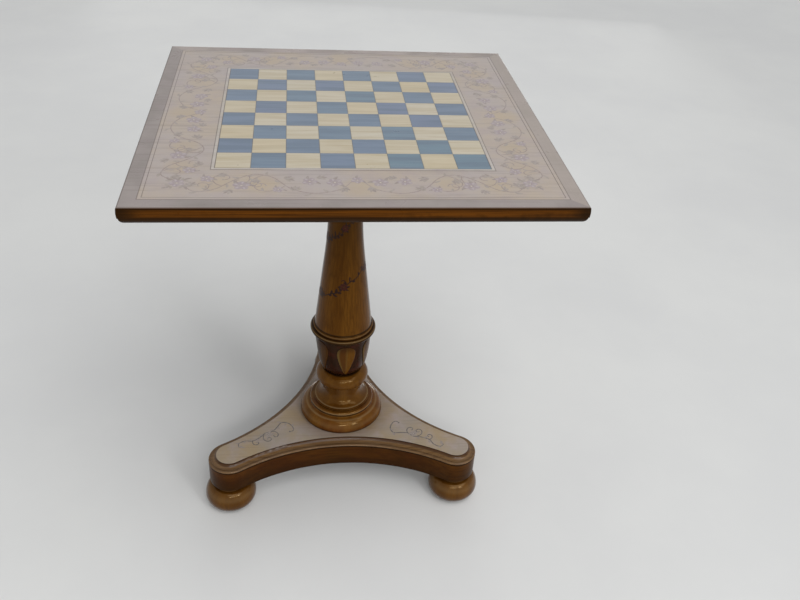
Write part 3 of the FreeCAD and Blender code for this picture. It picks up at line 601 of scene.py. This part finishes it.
def petal_material():
    """Ochre petals: brown on one half, golden on the other, a pale left rim of painted sheen, and painted
    shade under the collar and, more on some petals than on others, all over.

    petal_side runs from 0 at a petal's left edge to 1 at its right one, and petal_rim from 0 along its
    middle to 1 at its edge.
    """
    shader = Shader("petal_gold", coat=0.02, coat_roughness=0.08, specular=0.13, tint=SHELLAC)
    side = shader.attribute("petal_side")
    fine = shader.streaks("z", 520.0, 12.0)[0]
    colour = shader.mix(shader.fade(side, 0.40, 0.58), PETAL_HEART, PETAL_OCHRE)
    colour = shader.over(colour, PETAL_RIM, shader.near(side, 0.52, 0.10), 0.3)
    # painted sheen: a pale rim along the petal's left edge
    colour = shader.over(colour, PETAL_RIM, shader.fade(side, 0.20, 0.05), 0.8)
    colour = shader.over(colour, PETAL_HEART, fine, 0.55)
    colour = shader.mix(shader.fade(shader.attribute("petal_rim"), 0.95, 1.0), colour, GLAZE_AND_SHADE)
    # painted shade, deeper on some petals than on others
    colour = shader.mix(shader.attribute("petal_glaze"), colour, CUP_GROUND)
    depth = shader.math("SUBTRACT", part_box("petal_cup")[1].z - SPIGOT, shader.z)
    # painted shade under the collar
    colour = shader.over(colour, CUP_GROUND, shader.fade(depth, *COLLAR_SHADE), 0.85)
    shader.bump(fine, 0.00006)
    return shader.finish(colour, 0.2, 0.32)


def plinth_top_material():
    """Painted plate, painted shade in the quirk at its edge and towards the column, and golden cove and
    bead
    below: the cove in painted shade, the bead pale partly from wear and partly from a painted highlight.
    """
    shader = Shader("plinth_paint", coat=0.2, coat_roughness=0.14, specular=0.2)
    low, high = (corner.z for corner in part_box("plinth_top"))
    depth = shader.math("SUBTRACT", high, shader.z)
    height = shader.math("SUBTRACT", shader.z, high - COVE_DROP)
    fine, broad = shader.streaks("x", 200.0, 12.0)
    wood = shader.mix(broad, GOLD, GOLD_LIGHT)
    # the bead made pale, partly rubbed and partly painted highlight
    wood = shader.over(wood, BEAD, shader.fade(height, *BEAD_RUB_AND_HIGHLIGHT), 0.75)
    wood = shader.over(wood, GOLD_STREAK, fine, 0.5)
    # painted shade in the cove
    wood = shader.over(wood, EDGE_STREAK_AND_SHADE, shader.fade(height, *COVE_SHADE), 0.6)
    # painted shade in the quirk and along the line under the bead, and a dark line at the bottom
    dark = shader.most([
        shader.fade(depth, *QUIRK_SHADE),
        shader.math("MULTIPLY", shader.near(height, *BEAD_LINE), 0.8),
        shader.near(shader.z, low, BOTTOM_LINE),
    ])
    wood = shader.over(wood, GLAZE_AND_SHADE, dark, 0.75)

    square = shader.math("MULTIPLY_ADD", shader.x, shader.x, shader.math("MULTIPLY", shader.y, shader.y))
    from_column = shader.math("SQRT", square)
    ground, grain = painted_ground(shader, PLATE, PLATE_WARM, BORDER_PINK)
    # darker towards the column: partly a darker tone, partly painted shade
    ground = shader.over(ground, PLATE_DARK, shader.fade(from_column, *PLATE_SHADE), 0.4)
    shader.bump(grain, 0.00004)
    return shader.finish(shader.mix(shader.fade(depth, *PLATE_REACH), wood, ground), 0.24, 0.38)


def plinth_body_material():
    """Thick golden brown sides that darken downwards, partly glaze and partly painted shade."""
    shader = Shader("plinth_varnish", specular=0.08, tint=SHELLAC)
    low, high = (corner.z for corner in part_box("plinth_body"))
    fine, broad = shader.streaks("x", 160.0, 10.0)
    colour = shader.mix(shader.math("MULTIPLY_ADD", broad, 0.4, 0.6), GOLD, GOLD_STREAK)
    colour = shader.over(colour, EDGE_STREAK_AND_SHADE, fine, 0.5)
    patches = shader.patches(13.0, 0.40, 0.66, detail=3.0, roughness=0.5)
    colour = shader.over(colour, GOLD_RED, patches, 0.15)
    # painted shade with some glaze: the sides darken downwards, with dark lines at the top and bottom
    shade = shader.fade(shader.z, high, low - BLOCK_SHADE_PAST)
    colour = shader.over(colour, GLAZE_AND_SHADE, shade, 0.75)
    at_top = shader.near(shader.z, high, BLOCK_TOP_LINE)
    dark = shader.most([at_top, shader.near(shader.z, low, BLOCK_FOOT_LINE)])
    colour = shader.over(colour, GLAZE_AND_SHADE, dark, 0.8)
    shader.bump(fine, 0.00005)
    return shader.finish(colour, 0.24, 0.38)


def underside_material():
    """Plain stained wood, hardly varnished."""
    shader = Shader("underside_stain", specular=0.15, tint=SHELLAC)
    fine, broad = shader.streaks("y", 240.0, 7.0)
    colour = shader.mix(broad, UNDERSIDE, UNDERSIDE_STREAK)
    colour = shader.over(colour, UNDERSIDE_STREAK, fine, 0.7)
    shader.bump(fine, 0.00012)
    return shader.finish(colour, 0.5, 0.7)


def metal_material(name, plain, tarnish, roughness):
    """Metal with tarnished patches and a fine rough surface."""
    shader = Shader(name, metallic=1.0)
    colour = shader.mix(shader.patches(160.0, 0.4, 0.7), plain, tarnish)
    shader.bump(shader.noise(1400.0, detail=3.0, roughness=0.5), 0.00002)
    return shader.finish(colour, roughness, roughness + 0.15)


def brushed_on(name, plain, ground, gloss):
    """Thin paint of one brush: its colour lets the ground through in patches."""
    shader = Shader(name, coat=0.6 * gloss, coat_roughness=0.2, specular=gloss)
    colour = shader.over(plain, ground, shader.patches(210.0, 0.40, 0.66), 0.5)
    return shader.finish(colour, 0.3, 0.42)


def brushes(name, ground, colours, gloss=0.5):
    """One thin paint for each kind of stroke, all over the same ground."""
    kinds = ("vine", "leaf", "dark_leaf", "blossom", "pale_blossom", "heart")
    return [
        brushed_on("%s_%s" % (name, kind), colour, ground, gloss) for kind, colour in zip(kinds, colours)
    ]


# ------------ painted ornament
def build_mesh(name, points, faces, materials, looks=None):
    """An object from points and faces; looks gives each face's place in the list of materials."""
    mesh = bpy.data.meshes.new(name)
    mesh.from_pydata(points, [], faces)
    for material in materials:
        mesh.materials.append(material)
    if looks:
        mesh.polygons.foreach_set("material_index", looks)
    work = bmesh.new()
    work.from_mesh(mesh)
    bmesh.ops.recalc_face_normals(work, faces=work.faces)
    work.to_mesh(mesh)
    work.free()
    made = bpy.data.objects.new(name, mesh)
    bpy.context.scene.collection.objects.link(made)
    return made


def smooth(points, steps=14):
    """A Catmull-Rom curve through the given points."""
    ends = [points[0], *points, points[-1]]
    curve = []
    for a, b, c, d in zip(ends, ends[1:], ends[2:], ends[3:]):
        for step in range(steps):
            t = step / steps
            curve.append(tuple(
                q + 0.5 * t * (r - p + t * (2 * p - 5 * q + 4 * r - s + t * (3 * q - p - 3 * r + s)))
                for p, q, r, s in zip(a, b, c, d)
            ))
    return curve + [points[-1]]


def curl(u, v, heading, length, first_rate, last_rate, steps=40):
    """A tendril whose turn rate goes from first_rate to last_rate, in degrees a millimetre.

    The rate grows slowly at first, and slackens at the very end so that the tip stays open.
    """
    points = [(u, v)]
    stride = length / steps
    angle = math.radians(heading)
    for step in range(steps):
        share = step / steps
        rate = first_rate + (last_rate - first_rate) * share ** 2.2
        angle += math.radians(rate) * stride * 1000 * (1.0 if share < 0.97 else 0.6)
        u += stride * math.cos(angle)
        v += stride * math.sin(angle)
        points.append((u, v))
    return points


class Paint:
    """Strokes of paint on a surface.

    spot(u, v) turns a drawing's coordinates into the surface's own, and place(u, v, lift) gives the point
    at that height over it. layers keeps the highest stroke in each small cell of the surface.
    """

    VINE, LEAF, LEAF_DARK, BLOSSOM, BLOSSOM_PALE, HEART = range(6)

    def __init__(self, name, place, materials):
        self.name = name
        self.place = place
        self.materials = materials
        self.spot = lambda u, v: (u, v)
        self.points, self.faces, self.looks = [], [], []
        self.layers = {}

    def layer_over(self, line, half_width):
        """One above the highest stroke so far in any cell that a new stroke covers."""
        reach = int(half_width / LAYER_CELL) + 1
        cells = {
            (round(u / LAYER_CELL) + i, round(v / LAYER_CELL) + j)
            for u, v in line for i in range(-reach, reach + 1) for j in range(-reach, reach + 1)
        }
        layer = 1 + max(self.layers.get(cell, 0) for cell in cells)
        self.layers.update(dict.fromkeys(cells, layer))
        return layer

    def stroke(self, line, half_width, look, belly=0.3):
        """A strip along a line, widest at its middle; a small belly keeps its width to near the ends."""
        line = [self.spot(u, v) for u, v in line]
        first = len(self.points)
        last = len(line) - 1
        face, root = PAINT_LIFT + LAYER_STEP * self.layer_over(line, half_width), -PAINT_DEPTH
        for index, (u, v) in enumerate(line):
            before, after = line[max(index - 1, 0)], line[min(index + 1, last)]
            run_u, run_v = after[0] - before[0], after[1] - before[1]
            size = math.hypot(run_u, run_v) or 1.0
            share = min(max(index / last, 0.02), 0.98)
            width = half_width * (2 * math.sqrt(share * (1 - share))) ** belly
            side_u, side_v = -run_v / size * width, run_u / size * width
            for sign, lift in ((1, face), (-1, face), (-1, root), (1, root)):
                self.points.append(self.place(u + sign * side_u, v + sign * side_v, lift))
        for index in range(last):
            near = first + 4 * index
            for side in range(4):
                turn = (side + 1) % 4
                self.faces.append((near + side, near + turn, near + 4 + turn, near + 4 + side))
        far = first + 4 * last
        self.faces += [(first + 3, first + 2, first + 1, first), (far, far + 1, far + 2, far + 3)]
        self.looks += [look] * (4 * last + 2)

    def leaf(self, u, v, heading, length, width, look=LEAF):
        """A pointed leaf, slightly bent."""
        angle = math.radians(heading)
        line = []
        for step in range(STROKE_STEPS + 1):
            share = step / STROKE_STEPS
            bend, away = angle + 0.5 * (share - 0.5), length * share
            line.append((u + away * math.cos(bend), v + away * math.sin(bend)))
        self.stroke(line, width, look, belly=1.3)

    def dot(self, u, v, radius, look):
        line = [
            (u + radius * math.cos(math.pi * step / STROKE_STEPS), v) for step in range(STROKE_STEPS + 1)
        ]
        self.stroke(line, radius, look, belly=1.0)

    def flower(self, u, v, radius, turn=0.0, petals=5):
        """Broad petals with pale touches about a pale heart, and two leaves, all sized by the radius."""
        for side in (-1, 1):
            self.leaf(u, v, turn + 90 + side * 62, radius * 1.5, radius * 0.22, self.LEAF_DARK)
        for petal in range(petals):
            heading = turn + 360 * petal / petals
            self.petal(u, v, heading, (0.12 * radius, 0.95 * radius), radius * 0.38, self.BLOSSOM)
        for petal in range(petals):
            heading = turn + 10 + 360 * petal / petals
            self.petal(u, v, heading, (0.45 * radius, 0.85 * radius), radius * 0.12, self.BLOSSOM_PALE)
        self.dot(u, v, radius * 0.20, self.VINE)
        self.dot(u, v, radius * 0.12, self.HEART)

    def petal(self, u, v, heading, reach, width, look):
        """A round stroke that points away from a flower's heart, from one reach to the other."""
        angle = math.radians(heading)
        near, far = reach
        line = [
            (u + away * math.cos(angle), v + away * math.sin(angle))
            for away in (near + (far - near) * step / STROKE_STEPS for step in range(STROKE_STEPS + 1))
        ]
        self.stroke(line, width, look, belly=0.75)

    def fan(self, u, v, heading, length, leaves=5):
        """Leaves fanned out from one place, the middle ones longest."""
        for leaf in range(leaves):
            turn = 130 * (leaf / (leaves - 1) - 0.5)
            reach = length * (0.62 + 0.38 * math.cos(math.radians(turn * 1.3)))
            look = self.LEAF_DARK if leaf % 2 else self.LEAF
            self.leaf(u, v, heading + turn, reach, length * 0.17, look)

    def leaves_along(self, line, chance, every, length=LEAF_LENGTH, width=LEAF_WIDTH, spread=48.0):
        """Leaves on alternate sides of a line, one every few points, each a little different."""
        for count, index in enumerate(range(every, len(line) - 2, every)):
            if chance.random() < LEAF_GAPS:
                continue
            (u, v), (after_u, after_v) = line[index], line[index + 1]
            heading = math.degrees(math.atan2(after_v - v, after_u - u))
            side = 1 if count % 2 else -1
            turn = heading + side * (spread + chance.uniform(-14, 14))
            self.leaf(u, v, turn, length * chance.uniform(0.7, 1.15), width * chance.uniform(0.75, 1.1))

    def lay(self, body):
        """Make one piece of all the strokes, riding on a body."""
        made = build_mesh(self.name, self.points, self.faces, self.materials, self.looks)
        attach(made, body)


def turned(x, y, degrees):
    """A point turned about the origin."""
    angle = math.radians(degrees)
    return x * math.cos(angle) - y * math.sin(angle), x * math.sin(angle) + y * math.cos(angle)


def side_spot(turn, middle, mirror):
    """Places on one side of the board, from u along it and v across it."""
    return lambda u, v: turned(mirror * u, middle + v, 90 * turn)


def paint_half_border(paint, chance):
    """Stem, tendrils, fans of leaves and flowers from a side's middle to its corner."""
    stem = smooth(BORDER_STEM)
    paint.stroke(stem, STEM_WIDTH, paint.VINE)
    paint.leaves_along(stem, chance, 10)
    for start in BORDER_CURLS:
        tendril = curl(*start)
        paint.stroke(tendril, CURL_WIDTH, paint.VINE)
        paint.leaves_along(tendril[:28], chance, 9, LEAF_LENGTH * 0.8, LEAF_WIDTH * 0.85)
        paint.dot(*tendril[-1], DOT_RADIUS, paint.LEAF)
    for fan in BORDER_FANS:
        paint.fan(*fan)
    for flower in BORDER_FLOWERS:
        paint.flower(*flower, turn=chance.uniform(0, 72))


def paint_borders(materials):
    """The same scrollwork on all four sides, mirrored about each side's middle, a flower at each corner."""
    low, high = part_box("border_panel_front")
    middle = (low.y + high.y) / 2
    paint = Paint("border_scrolls", lambda x, y, lift: (x, y, high.z + lift), materials)
    for turn in range(4):
        chance = random.Random(100 + turn)
        for mirror in (1, -1):
            paint.spot = side_spot(turn, middle, mirror)
            paint_half_border(paint, chance)
        paint.flower(*BORDER_MIDDLE, turn=chance.uniform(0, 72))
        u, v, radius = CORNER_FLOWER
        for heading in range(45, 405, 90):
            out_u, out_v = turned(radius, 0.0, heading)
            paint.fan(u + out_u, v + out_v, heading, radius * 1.1, leaves=3)
        paint.flower(u, v, radius, turn=chance.uniform(0, 72))
    paint.lay("top")


def paint_arms(materials):
    """One scroll on each arm of the plinth's plate."""
    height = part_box("plinth_top")[1].z
    for name, bearing in zip(("left", "right", "back"), ARM_BEARINGS):
        chance = random.Random(int(bearing) + 500)

        def place(s, t, lift):
            return (*turned(s, t, bearing), height + lift)

        paint = Paint("plinth_scroll_" + name, place, materials)
        stem = smooth(ARM_STEM)
        paint.stroke(stem, STEM_WIDTH * 1.4, paint.VINE)
        paint.leaves_along(stem[20:], chance, 12, LEAF_LENGTH * 0.7, LEAF_WIDTH * 0.9)
        for start in ARM_CURLS:
            paint.stroke(curl(*start), CURL_WIDTH * 1.3, paint.VINE)
        paint.flower(*ARM_FLOWER, turn=chance.uniform(0, 72))
        paint.dot(*stem[0], DOT_RADIUS * 1.2, paint.VINE)
        paint.lay("pedestal")


def outer_profile(node):
    """Heights and outer radii of a turned node, from the bottom up."""
    widest = {}
    for vertex in nodes[node].data.vertices:
        height = round(vertex.co.z, 5)
        radius = math.hypot(vertex.co.x, vertex.co.y)
        widest[height] = max(radius, widest.get(height, 0.0))
    return sorted(widest.items())


def radius_at(profile, height):
    """The radius of a turned node at a height, straight between the two nearest rings."""
    for (low, low_radius), (high, high_radius) in zip(profile, profile[1:]):
        if low <= height <= high:
            share = (height - low) / (high - low)
            return low_radius + (high_radius - low_radius) * share
    return profile[-1][1]


def paint_garland(materials):
    """A leafy garland that winds up the shaft."""
    profile = outer_profile("column_shaft")
    chance = random.Random(7)

    def place(u, v, lift):
        """The point on the shaft for a length u round it, at its mean radius, and a height v."""
        angle = u / GARLAND_RADIUS
        radius = radius_at(profile, v) + lift
        return (radius * math.cos(angle), radius * math.sin(angle), v)

    def at(bearing):
        """The stem's place at a bearing: a rising turn with a wave and a ripple on it."""
        round_by = bearing - GARLAND_BEARING
        wave = GARLAND_WAVE * math.sin(math.radians(round_by * 2.0))
        wave += GARLAND_RIPPLE * math.sin(math.radians(round_by * 8.0))
        height = GARLAND_HEIGHT + GARLAND_PITCH * round_by / 360 + wave
        return (math.radians(bearing) * GARLAND_RADIUS, height)

    paint = Paint("shaft_garland", place, materials)
    line = [at(bearing) for bearing in range(GARLAND_START, GARLAND_END, 3)]
    line = [point for point in line if GARLAND_LOW < point[1] < GARLAND_HIGH]
    paint.stroke(line, STEM_WIDTH * 1.2, paint.VINE)
    paint.leaves_along(line, chance, 2, LEAF_LENGTH * 0.75, LEAF_WIDTH * 1.1, spread=46.0)
    for u, v in line[GARLAND_CURLS]:
        paint.stroke(curl(u, v, chance.uniform(60, 120), *GARLAND_CURL), CURL_WIDTH, paint.VINE)
    for bearing in range(GARLAND_FLOWER_FROM, GARLAND_END, GARLAND_FLOWER_EVERY):
        u, v = at(bearing)
        if not GARLAND_LOW + GARLAND_MARGIN < v < GARLAND_HIGH - GARLAND_MARGIN:
            continue
        for heading in GARLAND_FAN_HEADINGS:
            paint.fan(u, v + GARLAND_RISE, heading, GARLAND_FAN, leaves=4)
        paint.flower(u, v + GARLAND_RISE, GARLAND_FLOWER, turn=chance.uniform(0, 72))
    paint.lay("pedestal")


# ------------ petals of the cup
def petal_half_width(share):
    """Half width of a petal at a share of its height: blunt foot, full sides, round head."""
    return 1.35 * share ** 0.7 * (1 - share ** 6) ** 0.5


def petal_point(profile, low, bearing, row, column):
    """One point of a petal, with its place towards the rim and from side to side."""
    climb = (1 - math.cos(math.pi * row / PETAL_ROWS)) / 2
    share = PETAL_ENDS + (1 - 2 * PETAL_ENDS) * climb
    across = math.sin(math.pi * (column / PETAL_COLUMNS - 0.5))
    end = abs(2 * share - 1) ** 6
    rim = max(abs(across), end)
    ridge, ridge_place, ridge_half = PETAL_RIDGE
    lift = PETAL_CROWN * (0.30 + 0.70 * (1 - across ** 2) * (1 - end))
    lift += ridge * max(0.0, 1 - abs(rim - ridge_place) / ridge_half)
    if column in (0, PETAL_COLUMNS) or row in (0, PETAL_ROWS):
        lift = -PETAL_SINK
    height = low + PETAL_FOOT + PETAL_HEIGHT * share
    radius = radius_at(profile, height) + lift
    angle = math.radians(bearing + PETAL_HALF_ANGLE * petal_half_width(share) * across)
    return (radius * math.cos(angle), radius * math.sin(angle), height), rim, 0.5 + across / 2


def make_petals(material):
    """Raised petals round the cup, each crowned across and edged by a fine rim."""
    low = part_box("petal_cup")[0].z
    profile = outer_profile("petal_cup")
    wide = PETAL_COLUMNS + 1
    faces = [
        (corner, corner + 1, corner + wide + 1, corner + wide)
        for row in range(PETAL_ROWS) for corner in range(row * wide, row * wide + PETAL_COLUMNS)
    ]
    for number in range(PETALS):
        bearing = PETAL_BEARING + 360 / PETALS * number
        points, rims, sides = zip(*(
            petal_point(profile, low, bearing, row, column)
            for row in range(PETAL_ROWS + 1) for column in range(wide)
        ))
        made = build_mesh("cup_petal_%d" % (number + 1), points, faces, [material])
        shades = [PETAL_SHADES[number]] * len(points)
        for attribute, values in (("petal_rim", rims), ("petal_side", sides), ("petal_glaze", shades)):
            made.data.attributes.new(attribute, "FLOAT", "POINT").data.foreach_set("value", values)
        made.data.polygons.foreach_set("use_smooth", [True] * len(made.data.polygons))
        shell = made.modifiers.new("thickness", "SOLIDIFY")
        shell.thickness = PETAL_SHELL
        shell.offset = -1.0
        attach(made, "pedestal")


# ------------ dressing the CAD nodes
def dress(names, material):
    """Give nodes one material all over."""
    for name in names:
        mesh = nodes[name].data
        mesh.materials.clear()
        mesh.materials.append(material)
        mesh.polygons.foreach_set("material_index", [0] * len(mesh.polygons))


def dress_nodes():
    """Every CAD node gets its material."""
    dress(["light_squares"], square_material("light_veneer", CREAM, CREAM_WARM, CREAM_DEEP, CREAM_STREAK))
    dress(["dark_squares"], square_material("dark_veneer", SLATE, SLATE_VIOLET, SLATE_DEEP, SLATE_STREAK))
    dress(["board_stringing"], stringing_material("board_lines", "board_stringing", STRIP, STRIP_WARM))
    dress(["outer_stringing"], stringing_material("outer_lines", "outer_stringing", BORDER, BORDER_WARM))
    sides = ("front", "right", "back", "left")
    dress(["border_panel_" + side for side in sides], border_material())
    dress(["edge_moulding_" + side for side in sides], edge_material())
    dress(["column_shaft"], golden_material(
        "shaft_varnish", "column_shaft", SHAFT_LINES, SHAFT_CRESTS, SHAFT_PAINTED_SHADE,
        dim=0.35, gloss=0.12, coat=0.0, grain=0.5))
    dress(["column_bulb"], golden_material(
        "bulb_varnish", "column_bulb", BULB_LINES, BULB_CRESTS, BULB_PAINTED_SHADE, dim=0.4))
    dress(["column_base"], golden_material(
        "base_varnish", "column_base", BASE_LINES, BASE_CRESTS, red=0.5, dim=0.25))
    dress(["bun_foot_left", "bun_foot_right", "bun_foot_back"], golden_material(
        "foot_varnish", "bun_foot_left", FOOT_LINES, FOOT_CRESTS, FOOT_PAINTED_SHADE,
        dim=0.55, gloss=0.36, coat=0.08))
    dress(["petal_cup"], cup_material())
    dress(["plinth_top"], plinth_top_material())
    dress(["plinth_body"], plinth_body_material())
    dress(["top_core", "bearer_left", "bearer_right", "tilt_block"], underside_material())
    brass = ["pivot_pins", "catch_plate", "catch_bolt", "keeper_plate", "keeper_screws", "catch_screws"]
    dress(brass, metal_material("aged_brass", BRASS, BRASS_DARK, 0.3))
    steel = ["bearer_screws", "foot_bolts", "tie_rod", "rod_nuts", "rod_washers"]
    dress(steel, metal_material("zinc_steel", STEEL, STEEL_DARK, 0.35))


# ------------ stage
def make_floor():
    """A pale floor with hardly visible clouds, a hair below the feet."""
    shader = Shader("studio_floor")
    material = shader.finish(shader.mix(shader.patches(1.4, 0.3, 0.7), FLOOR, FLOOR_CLOUD), 0.9)
    half = FLOOR_SIZE / 2
    corners = [(x, y, -FLOOR_DROP) for x, y in ((-half, -half), (half, -half), (half, half), (-half, half))]
    build_mesh("studio_floor", corners, [(0, 1, 2, 3)], [material])


def aim(lamp, direction):
    """Add a lamp to the scene, turned to shine along a direction."""
    lamp.rotation_euler = Vector(direction).to_track_quat("-Z", "Y").to_euler()
    bpy.context.scene.collection.objects.link(lamp)


def make_sun():
    """Broad, even light from above, from a little in front and to the right."""
    data = bpy.data.lights.new("studio_sun", "SUN")
    data.energy = SUN_STRENGTH
    data.angle = math.radians(SUN_SPREAD)
    aim(bpy.data.objects.new("studio_sun", data), SUN_AIM)


def make_softbox(name, place, target, size, power, spread):
    """A rectangular lamp that the camera doesn't see, for the highlights on the varnish."""
    data = bpy.data.lights.new(name, "AREA")
    data.shape = "RECTANGLE"
    data.size, data.size_y = size
    data.spread = math.radians(spread)
    data.energy = power
    lamp = bpy.data.objects.new(name, data)
    lamp.visible_camera = False
    lamp.location = place
    aim(lamp, Vector(target) - Vector(place))


def make_sky():
    """Even light from all round; the camera and mirrorings see it as a pale backdrop."""
    world = bpy.data.worlds.new("studio")
    world.use_nodes = True
    tree = world.node_tree
    background = tree.nodes["Background"]
    background.inputs["Color"].default_value = SKY_COLOUR
    rays = tree.nodes.new("ShaderNodeLightPath")
    seen = rays.outputs["Is Camera Ray"]
    for kind in ("Is Glossy Ray", "Is Transmission Ray"):
        either = tree.nodes.new("ShaderNodeMath")
        either.operation = "MAXIMUM"
        tree.links.new(seen, either.inputs[0])
        tree.links.new(rays.outputs[kind], either.inputs[1])
        seen = either.outputs[0]
    strength = tree.nodes.new("ShaderNodeMapRange")
    strength.inputs["To Min"].default_value = SKY_STRENGTH
    strength.inputs["To Max"].default_value = BACKDROP_STRENGTH
    tree.links.new(seen, strength.inputs["Value"])
    tree.links.new(strength.outputs["Result"], background.inputs["Strength"])
    bpy.context.scene.world = world
    bpy.context.scene.view_settings.view_transform = "Standard"


def make_stage():
    """Floor and light; none of it belongs to the object."""
    make_floor()
    make_sun()
    for softbox in SOFTBOXES:
        make_softbox(*softbox)
    make_sky()


def make_camera():
    """The photograph's point of view."""
    data = bpy.data.cameras.new("camera")
    data.sensor_fit = "HORIZONTAL"
    data.sensor_width = SENSOR_WIDTH
    data.lens = CAMERA_LENS
    camera = bpy.data.objects.new("camera", data)
    camera.location = CAMERA_PLACE
    camera.rotation_euler = Euler([math.radians(angle) for angle in CAMERA_TURN])
    bpy.context.scene.collection.objects.link(camera)
    bpy.context.scene.camera = camera


make_camera()
make_stage()
dress_nodes()
paint_borders(brushes("border", BORDER, [VINE, LEAF, LEAF_DARK, BLOSSOM, BLOSSOM_PALE, HEART]))
paint_arms(brushes("plinth", PLATE, [PLATE_VINE, PLATE_LEAF, PLATE_LEAF, PLATE_LEAF, LEAF, HEART]))
paint_garland(brushes("garland", GOLD_STREAK, [
    GARLAND_VINE, GARLAND_VINE, GARLAND_VINE, GARLAND_BLOSSOM, GARLAND_BLOSSOM, GOLD], gloss=0.1))
make_petals(petal_material())
